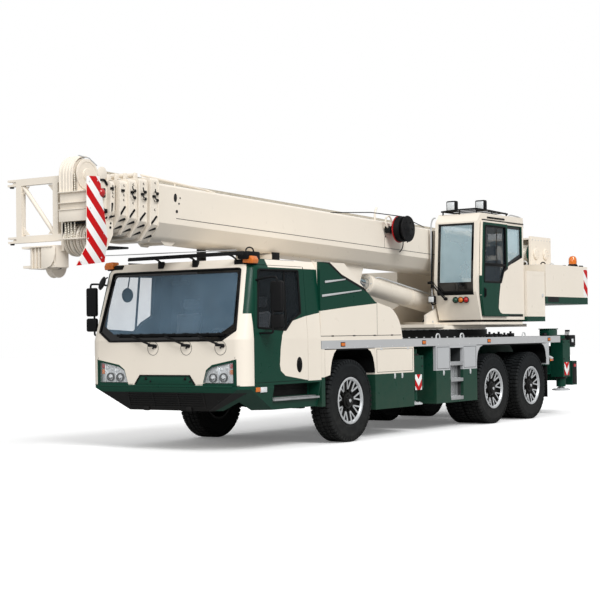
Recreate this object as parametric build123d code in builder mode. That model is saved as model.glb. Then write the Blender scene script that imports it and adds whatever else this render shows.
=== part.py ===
from build123d import *
from math import cos, radians, sin
import os

# Three-axle truck crane with a five-section telescopic boom, at its real size in millimetres.
# The frame is +X forward, +Y to the driver's left, +Z up, with the ground at z = 0.
# Every x below is counted from the front axle, which stands FRONT_AXLE ahead of the origin,
# so that the origin is on the ground under the middle of the crane's length.

# ---------------------------------------------------------------- driving dimensions
WHEELBASE = 4155
TANDEM = 1350
AXLE_2 = -WHEELBASE
AXLE_3 = -WHEELBASE - TANDEM
HALF_WIDTH = 1250

TYRE_R = 546
TYRE_HALF = 145
BEAD_R = 287
RIM_LIP_R = 308
WHEEL_FACE = 1240
TWIN_PITCH = 315
KINGPIN_Y = 950

FRAME_BOTTOM = 740
RAIL_INNER = 340
RAIL_OUTER = 430
DECK_TOP = 1346
DECK_RAIL_BOTTOM = 1236
DECK_FRONT = 690
DECK_REAR = -6640
JACK_NOTCH_X = -6480
ARCH_TOP = 1225
ARCH_FRONT = -3585
ARCH_REAR = -6075

CAB_REAR = 705
CAB_FLOOR = 820
CAB_WALL = 45

SLEW_X = -4400
RING_R = 900
RING_TOP = 1475
TABLE_BOTTOM = 1480
TABLE_TOP = 1540
PLATE_INNER = 385
PLATE_OUTER = 425
TAIL_R = 3660

SHEAVE_X = 3715
SHEAVE_R = 190
NOSE_X = 4210
FRONT_AXLE = (TAIL_R - SLEW_X - NOSE_X) / 2

FOOT_X = -6000
FOOT_Z = 2680
BOOM_TILT = 1.8
LUFF_FOOT_X = -4900
LUFF_FOOT_Z = 1800
LUFF_EYE_X = -1900
LUFF_EYE_Z = 2250

OP_WALL = 40
OP_SIDE = 1195
OP_INNER = 460
OP_FRONT = -3750
OP_REAR = -5380

# outriggers: name, middle x of the pair of tubes, x from there to the left-hand beam, top of the jack
OUTRIGGERS = (("front", -1990, 150, 1195), ("rear", -6810, -150, 1360))
TUBE_PITCH = 300
BEAM_Z = 870
JACK_Y = 1105


# ---------------------------------------------------------------- planes and small helpers
def side(y):
    """Plane at y that sees the crane from its right: sketch X forward, sketch Y up, extrudes to -Y."""
    return Plane(origin=(FRONT_AXLE, y, 0), x_dir=(1, 0, 0), z_dir=(0, -1, 0))


def top(z):
    """Plane at height z: sketch X forward, sketch Y left, extrudes up."""
    return Plane(origin=(FRONT_AXLE, 0, z), x_dir=(1, 0, 0), z_dir=(0, 0, 1))


def front(x):
    """Plane at x facing forward: sketch X left, sketch Y up, extrudes forward."""
    return Plane(origin=(FRONT_AXLE + x, 0, 0), x_dir=(0, 1, 0), z_dir=(1, 0, 0))


def boom_side(y):
    """Side plane whose sketch X runs along the boom from its foot pin, and sketch Y square to it."""
    tilt = radians(BOOM_TILT)
    return Plane(origin=(FRONT_AXLE + FOOT_X, y, FOOT_Z), x_dir=(cos(tilt), 0, sin(tilt)), z_dir=(0, -1, 0))


def boom_section(along):
    """Plane across the boom at a distance from its foot pin: sketch X left, sketch Y up."""
    tilt = radians(BOOM_TILT)
    origin = (FRONT_AXLE + FOOT_X + along * cos(tilt), 0, FOOT_Z + along * sin(tilt))
    return Plane(origin=origin, x_dir=(0, 1, 0), z_dir=(cos(tilt), 0, sin(tilt)))


def block(xs, ys, zs, mode=Mode.ADD):
    """Rectangular block between two x, two y and two z limits."""
    middle = (FRONT_AXLE + sum(xs) / 2, sum(ys) / 2, sum(zs) / 2)
    with Locations(middle):
        Box(abs(xs[1] - xs[0]), abs(ys[1] - ys[0]), abs(zs[1] - zs[0]), mode=mode)


def cross_pin(x, z, radius, ys, mode=Mode.ADD):
    """Round pin or bore across the crane, between two y limits."""
    with Locations(Location((FRONT_AXLE + x, sum(ys) / 2, z), (90, 0, 0))):
        Cylinder(radius, abs(ys[1] - ys[0]), mode=mode)


def upright(x, y, radius, zs, mode=Mode.ADD):
    """Upright round bar or bore between two heights."""
    with Locations((FRONT_AXLE + x, y, sum(zs) / 2)):
        Cylinder(radius, abs(zs[1] - zs[0]), mode=mode)


def save(part, name):
    part.label = name
    export_step(part, f"parts/{name}.step")


def save_pair(part, name):
    """Writes a left-hand part and its mirror image."""
    save(part, f"{name}_left")
    with BuildPart() as other:
        add(mirror(part, about=Plane.XZ))
    save(other.part, f"{name}_right")


os.makedirs("parts", exist_ok=True)

# ---------------------------------------------------------------- chassis frame and deck
with BuildPart() as chassis_frame:
    for y in (RAIL_OUTER, -RAIL_INNER):
        with BuildSketch(side(y)):
            Polygon(
                (2080, FRAME_BOTTOM),
                (2080, 800),
                (700, 800),
                (560, DECK_TOP - 40),
                (-7250, DECK_TOP - 40),
                (-7250, FRAME_BOTTOM),
                align=None,
            )
        extrude(amount=RAIL_OUTER - RAIL_INNER)
    for x in (1960, 800, -1200, -2700, -3300, -5400, -6300):
        block((x, x + 90), (-RAIL_INNER, RAIL_INNER), (FRAME_BOTTOM + 10, 790))
    block((SLEW_X - 700, SLEW_X + 700), (-RAIL_OUTER, RAIL_OUTER), (1180, 1240))
    upright(SLEW_X, 0, RING_R - 20, (1232, DECK_TOP))
    upright(SLEW_X, 0, RING_R - 220, (1240, DECK_TOP + 10), mode=Mode.SUBTRACT)
    for name, x, offset_left, jack_top in OUTRIGGERS:
        tube_room = (BEAM_Z - 185, BEAM_Z + 185)
        block((x - 300, x + 300), (-RAIL_OUTER, RAIL_OUTER), tube_room, mode=Mode.SUBTRACT)
    block((-7440, -7290), (-1180, 1180), (560, 800))
    for y in (-1, 1):
        block((-7300, -7240), (y * RAIL_INNER, y * RAIL_OUTER), (FRAME_BOTTOM, 800))
        block((-7470, -7260), (y * 900, y * 1180), (486, 905))
save(chassis_frame.part, "chassis_frame")

with BuildPart() as slewing_ring:
    upright(SLEW_X, 0, RING_R, (DECK_TOP, RING_TOP))
    upright(SLEW_X, 0, RING_R - 200, (DECK_TOP, RING_TOP), mode=Mode.SUBTRACT)
save(slewing_ring.part, "slewing_ring")

with BuildPart() as deck:
    block((DECK_REAR, DECK_FRONT), (-HALF_WIDTH, HALF_WIDTH), (DECK_TOP - 40, DECK_TOP))
    for y in (-1, 1):
        block((DECK_REAR, DECK_FRONT), (y * 1190, y * HALF_WIDTH), (DECK_RAIL_BOTTOM, DECK_TOP - 40))
    block((-920, 540), (-320, 320), (DECK_TOP - 50, DECK_TOP + 10), mode=Mode.SUBTRACT)
    upright(SLEW_X, 0, RING_R - 10, (DECK_TOP - 50, DECK_TOP + 10), mode=Mode.SUBTRACT)
    notch_x = (DECK_REAR - 10, JACK_NOTCH_X)
    block(notch_x, (-HALF_WIDTH - 10, -960), (DECK_RAIL_BOTTOM, DECK_TOP), mode=Mode.SUBTRACT)
save(deck.part, "deck")

# ---------------------------------------------------------------- side panels, lockers and arches
# lockers and panels on both sides: front x, rear x, bottom z, inner y
PANELS = (
    (700, 617, 500, 700),
    (-617, -1667, 395, 640),
    (-2312, ARCH_FRONT + 2, 395, 640),
    (ARCH_REAR - 2, -6185, 860, 640),
)
STEPS_X = (-3140, -2740)
STEP_DEPTH = 280

with BuildPart() as side_lockers:
    for y in (-1, 1):
        for x_front, x_rear, z_low, y_inner in PANELS:
            block((x_rear, x_front), (y * y_inner, y * 1248), (z_low, DECK_RAIL_BOTTOM))
        block(STEPS_X, (y * (1248 - STEP_DEPTH), y * HALF_WIDTH), (430, 1200), mode=Mode.SUBTRACT)
        for z in (430, 700, 940):
            block(STEPS_X, (y * 1060, y * 1248), (z, z + 40))
save(side_lockers.part, "side_lockers")

# wheel arch liners: front x, rear x
LINER = 8
with BuildPart() as wheel_arches:
    for x_front, x_rear in ((614, -614), (ARCH_FRONT, ARCH_REAR)):
        for y in (1246, -640):
            with BuildSketch(side(y)):
                Polygon(
                    (x_front, 900),
                    (x_front, ARCH_TOP - 110),
                    (x_front - 140, ARCH_TOP),
                    (x_rear + 140, ARCH_TOP),
                    (x_rear, ARCH_TOP - 110),
                    (x_rear, 900),
                    (x_rear + LINER, 900),
                    (x_rear + LINER, ARCH_TOP - 114),
                    (x_rear + 143, ARCH_TOP - LINER),
                    (x_front - 143, ARCH_TOP - LINER),
                    (x_front - LINER, ARCH_TOP - 114),
                    (x_front - LINER, 900),
                    align=None,
                )
            extrude(amount=606)
save(wheel_arches.part, "wheel_arches")

# ---------------------------------------------------------------- engine, springs, shafts and axles
with BuildPart() as engine:
    block((-900, 520), (-300, 300), (620, 1650))
save(engine.part, "engine")

with BuildPart() as leaf_springs:
    for y in (425, -345):
        with BuildSketch(side(y)):
            with BuildLine():
                ThreePointArc((-620, FRAME_BOTTOM), (0, 690), (620, FRAME_BOTTOM))
                Line((620, FRAME_BOTTOM), (620, 700))
                ThreePointArc((620, 700), (0, 615), (-620, 700))
                Line((-620, 700), (-620, FRAME_BOTTOM))
            make_face()
        extrude(amount=80)
    for y in (530, -440):
        with BuildSketch(side(y)):
            with BuildLine():
                ThreePointArc((AXLE_2 + 60, 690), (-4830, 790), (AXLE_3 - 60, 690))
                Line((AXLE_3 - 60, 690), (AXLE_3 - 60, 640))
                ThreePointArc((AXLE_3 - 60, 640), (-4830, 690), (AXLE_2 + 60, 640))
                Line((AXLE_2 + 60, 640), (AXLE_2 + 60, 690))
            make_face()
        extrude(amount=90)
save(leaf_springs.part, "leaf_springs")

# drive shafts: start x and z, end x and z
SHAFTS = ((-905, 655, AXLE_2 + 335, 560), (AXLE_2 - 215, 546, AXLE_3 + 335, 546))
with BuildPart() as drive_shafts:
    for x_start, z_start, x_end, z_end in SHAFTS:
        start = Vector(FRONT_AXLE + x_start, 0, z_start)
        run = Vector(FRONT_AXLE + x_end, 0, z_end) - start
        with BuildSketch(Plane(origin=start, z_dir=run)):
            Circle(42)
        extrude(amount=run.length)
save(drive_shafts.part, "drive_shafts")

with BuildPart() as axles:
    with BuildSketch(side(KINGPIN_Y - 20)):
        with Locations((0, TYRE_R)):
            Rectangle(90, 90)
    extrude(amount=KINGPIN_Y - 420)
    with BuildSketch(side(-400)):
        with Locations((0, TYRE_R)):
            Rectangle(90, 90)
    extrude(amount=KINGPIN_Y - 420)
    block((-50, 50), (-470, 470), (430, 540))
    block((-45, 45), (400, 470), (440, 591))
    block((-45, 45), (-470, -400), (440, 591))
    for y in (-KINGPIN_Y, KINGPIN_Y):
        upright(0, y, 45, (492, 598))
    for y in (-KINGPIN_Y, KINGPIN_Y):
        upright(0, y, 25, (480, 610), mode=Mode.SUBTRACT)
    for x in (AXLE_2, AXLE_3):
        cross_pin(x, TYRE_R, 75, (-1095, 1095))
        with Locations((FRONT_AXLE + x, 0, TYRE_R)):
            Sphere(205)
        with BuildSketch(front(x + 120)):
            with Locations((0, TYRE_R)):
                Circle(110)
        extrude(amount=210)
        for y in (-1, 1):
            cross_pin(x, TYRE_R, 195, (y * 900, y * 1060))
save(axles.part, "axles")

with BuildPart() as knuckle:
    upright(0, KINGPIN_Y, 24, (400, 690))
    for zs in ((400, 484), (606, 690)):
        upright(0, KINGPIN_Y, 55, zs)
        block((-55, 55), (KINGPIN_Y, 1040), zs)
    block((-60, 60), (1003, 1045), (400, 690))
    cross_pin(0, TYRE_R, 195, (1043, 1110))
    cross_pin(0, TYRE_R, 36, (1100, 1165))
save_pair(knuckle.part, "knuckle")


# ---------------------------------------------------------------- wheels
def tyre_at(y_middle):
    """Tyre ring: straight beads, bulged sidewalls, rounded shoulders and a flat tread band."""
    bead = TYRE_HALF - 16
    wall = TYRE_HALF - 8
    shoulder = TYRE_HALF - 22
    with BuildPart() as tyre:
        with BuildSketch(Plane.XY):
            with BuildLine():
                Line((BEAD_R, y_middle - bead), (BEAD_R + 25, y_middle - bead))
                ThreePointArc(
                    (BEAD_R + 25, y_middle - bead),
                    (420, y_middle - TYRE_HALF),
                    (500, y_middle - wall),
                )
                ThreePointArc((500, y_middle - wall), (533, y_middle - shoulder), (TYRE_R, y_middle - 92))
                Line((TYRE_R, y_middle - 92), (TYRE_R, y_middle + 92))
                ThreePointArc((TYRE_R, y_middle + 92), (533, y_middle + shoulder), (500, y_middle + wall))
                ThreePointArc(
                    (500, y_middle + wall),
                    (420, y_middle + TYRE_HALF),
                    (BEAD_R + 25, y_middle + bead),
                )
                Line((BEAD_R + 25, y_middle + bead), (BEAD_R, y_middle + bead))
                Line((BEAD_R, y_middle + bead), (BEAD_R, y_middle - bead))
            make_face()
        revolve(axis=Axis.Y)
    return tyre.part


def rim_between(y_inner, y_outer):
    """Rim barrel with a lip at each edge, a spoked disc near its outer face and a hub."""
    lip = 11
    with BuildPart() as rim:
        with BuildSketch(Plane.XY):
            Polygon(
                (262, y_inner),
                (RIM_LIP_R, y_inner),
                (RIM_LIP_R, y_inner + lip),
                (BEAD_R - 1, y_inner + lip + 6),
                (BEAD_R - 1, y_outer - lip - 6),
                (RIM_LIP_R, y_outer - lip),
                (RIM_LIP_R, y_outer),
                (262, y_outer),
                align=None,
            )
            Polygon(
                (80, y_outer - 66),
                (263, y_outer - 50),
                (263, y_outer - 24),
                (80, y_outer - 40),
                align=None,
            )
            Polygon(
                (0, y_outer - 62),
                (95, y_outer - 62),
                (95, y_outer - 12),
                (75, y_outer),
                (0, y_outer),
                align=None,
            )
        revolve(axis=Axis.Y)
        with BuildSketch(Plane.XZ.offset(-y_outer)):
            with PolarLocations(178, 10):
                Trapezoid(52, 118, 82, rotation=-90)
        extrude(amount=90, mode=Mode.SUBTRACT)
    return rim.part


# wheels: name, axle x, rim's inner edge y, middles of its tyres
TYRE_Y = WHEEL_FACE - TYRE_HALF
WHEELS = (
    ("front", 0, 954, (TYRE_Y,)),
    ("second", AXLE_2, 639, (TYRE_Y, TYRE_Y - TWIN_PITCH)),
    ("third", AXLE_3, 639, (TYRE_Y, TYRE_Y - TWIN_PITCH)),
)
for name, x, y_rim, tyre_middles in WHEELS:
    hub_place = Location((FRONT_AXLE + x, 0, TYRE_R))
    with BuildPart() as wheel:
        with Locations(hub_place):
            add(rim_between(y_rim, WHEEL_FACE - 4))
            for y in tyre_middles:
                add(tyre_at(y))
    save_pair(wheel.part, f"wheel_{name}")

# ---------------------------------------------------------------- driver's cab
# sections of the cab's outer skin: height, front x, half width, corner radius
CAB_SECTIONS = (
    (CAB_FLOOR, 2330, 1250, 170),
    (1380, 2335, 1250, 170),
    (2250, 2095, 1190, 150),
    (2360, 2030, 1130, 140),
)


def cab_volume(inset):
    """Solid inside the cab's skin, moved in by the inset on every face."""
    last = len(CAB_SECTIONS) - 1
    with BuildPart() as volume:
        for i, (height, nose, half, corner) in enumerate(CAB_SECTIONS):
            level = height + (inset if i == 0 else 0) - (inset if i == last else 0)
            with BuildSketch(top(level)):
                with Locations(((nose + CAB_REAR) / 2, 0)):
                    Rectangle(nose - CAB_REAR - 2 * inset, 2 * (half - inset))
                fillet(vertices().group_by(Axis.X)[-1], corner - inset)
        loft(ruled=True)
    return volume.part


def cab_skin(depth, thickness):
    """Layer of the cab's skin that starts at a depth below its surface."""
    with BuildPart() as skin:
        add(cab_volume(depth))
        add(cab_volume(depth + thickness), mode=Mode.SUBTRACT)
    return skin.part


WINDSCREEN = ((-900, 1375), (900, 1375), (1090, 1490), (1025, 2240), (-1025, 2240), (-1090, 1490))
DOOR = ((2150, 850), (2150, 1380), (2035, 2290), (1000, 2290), (1000, 850))
DOOR_GAP = 6
DOOR_HINGE = (2145, 1252)
DOOR_WINDOW = ((2060, 1520), (1975, 2225), (1130, 2235), (1130, 1700), (1330, 1610), (1480, 1490))
HEADLIGHT = ((600, 850), (660, 1000), (745, 1050), (1064, 1112), (1064, 850))

cab_wall = cab_skin(0, CAB_WALL)

with BuildPart() as driver_cab:
    add(cab_wall)
    with BuildSketch(front(1700)):
        Polygon(*WINDSCREEN, align=None)
        fillet(vertices(), 60)
    extrude(amount=700, mode=Mode.SUBTRACT)
    for y in (1260, -1100):
        with BuildSketch(side(y)):
            Polygon(*DOOR, align=None)
        extrude(amount=160, mode=Mode.SUBTRACT)
    for y in (-1, 1):
        with BuildSketch(front(2270)):
            Polygon(*[(y * u, v) for u, v in HEADLIGHT], align=None)
        extrude(amount=100, mode=Mode.SUBTRACT)
    for y in (-1, 1):
        block((1000, 2150), (y * 1190, y * 1210), (CAB_FLOOR, 850))
save(driver_cab.part, "driver_cab")

with BuildPart() as windscreen:
    add(cab_skin(12, 8))
    with BuildSketch(front(1700)):
        Polygon(*WINDSCREEN, align=None)
        fillet(vertices(), 60)
    extrude(amount=700, mode=Mode.INTERSECT)
save(windscreen.part, "windscreen")

with BuildPart() as headlights:
    add(cab_volume(2))
    with BuildSketch(front(2270)):
        for y in (-1, 1):
            Polygon(*[(y * u, v) for u, v in HEADLIGHT], align=None)
    extrude(amount=100, mode=Mode.INTERSECT)
save(headlights.part, "headlights")

with BuildPart() as driver_door:
    add(cab_wall)
    with BuildSketch(side(1260)):
        Polygon(*DOOR, align=None)
        offset(amount=-DOOR_GAP, mode=Mode.REPLACE)
    extrude(amount=160, mode=Mode.INTERSECT)
    with BuildSketch(side(1260)):
        Polygon(*DOOR_WINDOW, align=None)
        fillet(vertices(), 40)
    extrude(amount=200, mode=Mode.SUBTRACT)
    upright(DOOR_HINGE[0], DOOR_HINGE[1], 4, (900, 1360))
save_pair(driver_door.part, "driver_door")

with BuildPart() as door_glass:
    add(cab_skin(14, 6))
    with BuildSketch(side(1260)):
        Polygon(*DOOR_WINDOW, align=None)
        fillet(vertices(), 40)
    extrude(amount=200, mode=Mode.INTERSECT)
save_pair(door_glass.part, "door_glass")

with BuildPart() as mirror_set:
    block((2005, 2035), (1150, 1420), (2085, 2110))
    block((2005, 2035), (1200, 1420), (1440, 1465))
    block((2005, 2035), (1395, 1420), (1440, 2110))
    block((1975, 2035), (1400, 1590), (1700, 2080))
    block((1975, 2035), (1400, 1590), (1500, 1680))
    add(cab_volume(-1), mode=Mode.SUBTRACT)
save_pair(mirror_set.part, "mirror")

# sections of the bumper: height, front x, half width, how far back and how far in its corners are cut
BUMPER_SECTIONS = (
    (510, 2260, 1190, 560, 560),
    (780, 2345, 1250, 120, 120),
    (CAB_FLOOR - 2, 2345, 1250, 120, 120),
)
with BuildPart() as front_bumper:
    for height, nose, half, back, inward in BUMPER_SECTIONS:
        with BuildSketch(top(height)):
            Polygon(
                (720, -half),
                (nose - back, -half),
                (nose, inward - half),
                (nose, half - inward),
                (nose - back, half),
                (720, half),
                align=None,
            )
    loft(ruled=True)
    block((700, 2130), (-1000, 1000), (500, 830), mode=Mode.SUBTRACT)
    for y in (-1, 1):
        block((745, 1750), (y * 1080, y * 1260), (645, 830), mode=Mode.SUBTRACT)
save(front_bumper.part, "front_bumper")

steering_place = Plane(
    origin=(FRONT_AXLE + 1760, 560, 1390),
    x_dir=(0, 1, 0),
    z_dir=(-cos(radians(55)), 0, sin(radians(55))),
)
with BuildPart() as dashboard:
    block((1860, 2270), (-1150, 1150), (1060, 1330))
    add(cab_volume(CAB_WALL + 1), mode=Mode.INTERSECT)
    with BuildSketch(steering_place.offset(-12)):
        Circle(225)
        Circle(195, mode=Mode.SUBTRACT)
        Rectangle(400, 34)
        Circle(60)
    extrude(amount=24)
    with BuildSketch(steering_place.offset(-230)):
        Circle(28)
    extrude(amount=225)
save(dashboard.part, "dashboard")

with BuildPart() as cab_seats:
    for y in (-560, 560):
        block((1120, 1600), (y - 240, y + 240), (1090, 1220))
        block((1180, 1480), (y - 150, y + 150), (866, 1090))
        with BuildSketch(side(y + 230)):
            Polygon((1150, 1200), (1270, 1200), (1130, 1900), (1020, 1900), align=None)
        extrude(amount=460)
save(cab_seats.part, "cab_seats")

# ---------------------------------------------------------------- engine hood behind the cab
HOOD_WALL = 40
with BuildPart() as engine_hood:
    with BuildSketch(side(1245)):
        with BuildLine():
            Polyline((700, DECK_TOP), (700, 2360), (120, 2360), (-650, 1860), (-1030, 1790))
            ThreePointArc((-1030, 1790), (-1250, 1640), (-1360, DECK_TOP))
            Line((-1360, DECK_TOP), (700, DECK_TOP))
        make_face()
    extrude(amount=2490)
    with BuildSketch(side(1245 - HOOD_WALL)):
        with BuildLine():
            Polyline((660, DECK_TOP), (660, 2320), (108, 2320), (-635, 1820), (-1015, 1750))
            ThreePointArc((-1015, 1750), (-1215, 1620), (-1318, DECK_TOP))
            Line((-1318, DECK_TOP), (660, DECK_TOP))
        make_face()
    extrude(amount=2490 - 2 * HOOD_WALL, mode=Mode.SUBTRACT)
    for y in (-1, 1):
        block((260, 440), (y * 190, y * 270), (2350, 2470))
    block((260, 440), (-300, 300), (2440, 2508))
save(engine_hood.part, "engine_hood")

# ---------------------------------------------------------------- outriggers
with BuildPart() as outrigger_boxes:
    for name, x, offset_left, jack_top in OUTRIGGERS:
        block((x - TUBE_PITCH + 10, x + TUBE_PITCH - 10), (-985, 985), (BEAM_Z - 180, BEAM_Z + 180))
        for tube in (x - TUBE_PITCH / 2, x + TUBE_PITCH / 2):
            block((tube - 120, tube + 120), (-990, 990), (BEAM_Z - 160, BEAM_Z + 160), mode=Mode.SUBTRACT)
save(outrigger_boxes.part, "outrigger_boxes")

for name, x, offset_left, jack_top in OUTRIGGERS:
    for hand, y_sign in (("left", 1), ("right", -1)):
        x_beam = x + y_sign * offset_left
        y_jack = y_sign * JACK_Y
        with BuildPart() as beam:
            block((x_beam - 114, x_beam + 114), (y_sign * -940, y_jack), (BEAM_Z - 154, BEAM_Z + 154))
            block((x_beam - 150, x_beam + 150), (y_sign * 992, y_sign * 1218), (640, jack_top - 90))
            upright(x_beam, y_jack, 80, (470, jack_top))
            upright(x_beam, y_jack, 50, (460, jack_top - 20), mode=Mode.SUBTRACT)
        save(beam.part, f"outrigger_beam_{name}_{hand}")
        with BuildPart() as jack:
            upright(x_beam, y_jack, 42, (425, jack_top - 60))
            upright(x_beam, y_jack, 150, (405, 430))
            upright(x_beam, y_jack, 68, (429, 455))
        save(jack.part, f"jack_{name}_{hand}")

# ---------------------------------------------------------------- superstructure
with BuildPart() as turntable:
    upright(SLEW_X, 0, RING_R - 20, (TABLE_BOTTOM, TABLE_TOP))
    block((-6700, -3450), (-600, 600), (TABLE_TOP - 30, TABLE_TOP + 20))
    block((-5340, -3850), (420, 1180), (TABLE_TOP + 5, TABLE_TOP + 45))
    block((-6060, -4000), (-1200, -420), (TABLE_TOP - 10, TABLE_TOP + 25))
    for y in (PLATE_OUTER, -PLATE_INNER):
        with BuildSketch(side(y)):
            Polygon(
                (-3500, TABLE_TOP),
                (-3500, 1700),
                (-4300, 1960),
                (-5250, 2150),
                (-5780, 2860),
                (-6220, 2860),
                (-6900, 2300),
                (-6900, TABLE_TOP),
                align=None,
            )
        extrude(amount=PLATE_OUTER - PLATE_INNER)
    block((-6890, -6850), (-PLATE_INNER, PLATE_INNER), (TABLE_TOP, 2150))
    block((-4200, -4160), (-PLATE_INNER, PLATE_INNER), (TABLE_TOP, 1600))
    cross_pin(FOOT_X, FOOT_Z, 60, (-PLATE_OUTER - 15, PLATE_OUTER + 15))
    cross_pin(LUFF_FOOT_X, LUFF_FOOT_Z, 50, (-PLATE_OUTER, PLATE_OUTER))
save(turntable.part, "turntable")

with BuildPart() as counterweight:
    with BuildSketch(top(1890)):
        with Locations((SLEW_X, 0)):
            Circle(TAIL_R)
        with Locations((-7500, 0)):
            Rectangle(2 * 1400, 2500, mode=Mode.INTERSECT)
        with Locations((-6500, 0)):
            Rectangle(810, 880, mode=Mode.SUBTRACT)
    extrude(amount=660)
save(counterweight.part, "counterweight")

with BuildPart() as winch_housing:
    for y in (-1, 1):
        block((-7740, -6920), (y * 560, y * 600), (2550, 3090))
    block((-7740, -7710), (-560, 560), (2550, 3090))
    block((-7740, -7300), (-560, 560), (3060, 3090))
save(winch_housing.part, "winch_housing")

with BuildPart() as winches:
    for x in (-7110, -7500):
        cross_pin(x, 2790, 110, (-555, 555))
        for ys in ((-540, -510), (510, 540)):
            cross_pin(x, 2790, 180, ys)
        cross_pin(x, 2790, 150, (-510, 510))
save(winches.part, "winches")

with BuildPart() as machinery_boxes:
    block((-6080, -5400), (445, 1240), (1592, 2420))
    block((-6080, -4100), (-1240, -445), (1570, 2420))
save(machinery_boxes.part, "machinery_boxes")

# ---------------------------------------------------------------- operator's cab
OP_PROFILE = (
    (-3850, 1620),
    (-3700, 2050),
    (-3700, 2250),
    (-3770, 3150),
    (-3880, 3280),
    (OP_REAR, 3280),
    (OP_REAR, 1620),
)
OP_HOLLOW = (
    (-3890, 1660),
    (-3745, 2060),
    (-3745, 2250),
    (-3812, 3140),
    (-3900, 3240),
    (OP_REAR + OP_WALL, 3240),
    (OP_REAR + OP_WALL, 1660),
)
OP_DOORWAY = ((-3905, 1700), (-3830, 2000), (-3830, 2250), (-3890, 3140), (-4690, 3140), (-4690, 1700))
OP_REAR_WINDOW = ((-4760, 2445), (-4760, 3120), (-5300, 3120), (-5300, 2640))
# windscreen opening: across, and up
OP_SCREEN_Y = (510, 1145)
OP_SCREEN_Z = (2070, 3125)

with BuildPart() as operator_cab:
    with BuildSketch(side(OP_SIDE)):
        Polygon(*OP_PROFILE, align=None)
    extrude(amount=OP_SIDE - OP_INNER)
    with BuildSketch(side(OP_SIDE - OP_WALL)):
        Polygon(*OP_HOLLOW, align=None)
    extrude(amount=OP_SIDE - OP_INNER - 2 * OP_WALL, mode=Mode.SUBTRACT)
    with BuildSketch(side(OP_SIDE + 5)):
        Polygon(*OP_DOORWAY, align=None)
        Polygon(*OP_REAR_WINDOW, align=None)
    extrude(amount=OP_WALL + 10, mode=Mode.SUBTRACT)
    with BuildSketch(side(OP_INNER + OP_WALL + 5)):
        Polygon((-3850, 2250), (-3900, 3120), (-5250, 3120), (-5250, 2250), align=None)
    extrude(amount=OP_WALL + 10, mode=Mode.SUBTRACT)
    block((-3900, -3600), OP_SCREEN_Y, OP_SCREEN_Z, mode=Mode.SUBTRACT)
    block((OP_REAR - 10, OP_REAR + 50), (560, 1100), (2450, 3050), mode=Mode.SUBTRACT)
save(operator_cab.part, "operator_cab")

with BuildPart() as operator_glass:
    with BuildSketch(side(OP_SCREEN_Y[1])):
        Polygon(
            (-3715, OP_SCREEN_Z[0]),
            (-3715, 2250),
            (-3782, OP_SCREEN_Z[1]),
            (-3790, OP_SCREEN_Z[1]),
            (-3723, 2250),
            (-3723, OP_SCREEN_Z[0]),
            align=None,
        )
    extrude(amount=OP_SCREEN_Y[1] - OP_SCREEN_Y[0])
    with BuildSketch(side(OP_SIDE - 14)):
        Polygon(*OP_REAR_WINDOW, align=None)
    extrude(amount=6)
    with BuildSketch(side(OP_INNER + 20)):
        Polygon((-3850, 2250), (-3900, 3120), (-5250, 3120), (-5250, 2250), align=None)
    extrude(amount=6)
    block((OP_REAR + 12, OP_REAR + 18), (560, 1100), (2450, 3050))
save(operator_glass.part, "operator_cab_glass")

OP_DOOR = ((-3880, 1680), (-3800, 2000), (-3800, 2250), (-3865, 3160), (-4710, 3160), (-4710, 1680))
OP_DOOR_WINDOW = ((-3880, 2200), (-3940, 3090), (-4640, 3090), (-4640, 2450), (-4570, 2400), (-4460, 2200))
with BuildPart() as operator_door:
    with BuildSketch(side(1243)):
        Polygon(*OP_DOOR, align=None)
        Polygon(*OP_DOOR_WINDOW, align=None, mode=Mode.SUBTRACT)
    extrude(amount=40)
save(operator_door.part, "operator_door")

with BuildPart() as operator_door_glass:
    with BuildSketch(side(1228)):
        Polygon(*OP_DOOR_WINDOW, align=None)
    extrude(amount=6)
save(operator_door_glass.part, "operator_door_glass")

with BuildPart() as operator_seat:
    block((-4850, -4350), (590, 1070), (2010, 2130))
    block((-4780, -4450), (690, 970), (1662, 2010))
    with BuildSketch(side(1060)):
        Polygon((-4850, 2100), (-4730, 2100), (-4850, 2850), (-4960, 2850), align=None)
    extrude(amount=460)
    for ys in ((520, 590), (1070, 1140)):
        block((-4800, -4300), ys, (2180, 2240))
        block((-4700, -4600), ys, (2030, 2200))
    block((-4700, -4600), (520, 1140), (2030, 2060))
save(operator_seat.part, "operator_seat")

# ---------------------------------------------------------------- boom
# sections from the foot: number, half width, top, bottom, start and end along the boom, end of its collar
SECTIONS = (
    (1, 360, 310, -360, 450, 8970, 9050),
    (2, 335, 285, -335, 700, 9150, 9230),
    (3, 310, 260, -310, 800, 9310, 9380),
    (4, 285, 235, -285, 900, 9450, 9510),
)
# fly section, which ends inside the fourth one and carries the head
FLY_START = 1000
FLY_END = 9350
FLY_HALF = 260
FLY_TOP = 210
HEAD_RING = (9575, 9640)
BOOM_WALL = 14
COLLAR = 45
LUG_R = 165


def boom_outline(half, high, low, upper_radius, lower_radius):
    """Boom section in the current sketch: flat top and sides, with a belly that narrows downwards."""
    Polygon(
        (-half, low + 200),
        (-half, high),
        (half, high),
        (half, low + 200),
        (half * 0.62, low),
        (-half * 0.62, low),
        align=None,
    )
    fillet(vertices().group_by(Axis.Y)[-1], upper_radius)
    fillet(vertices().group_by(Axis.Y)[0], lower_radius)


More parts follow.
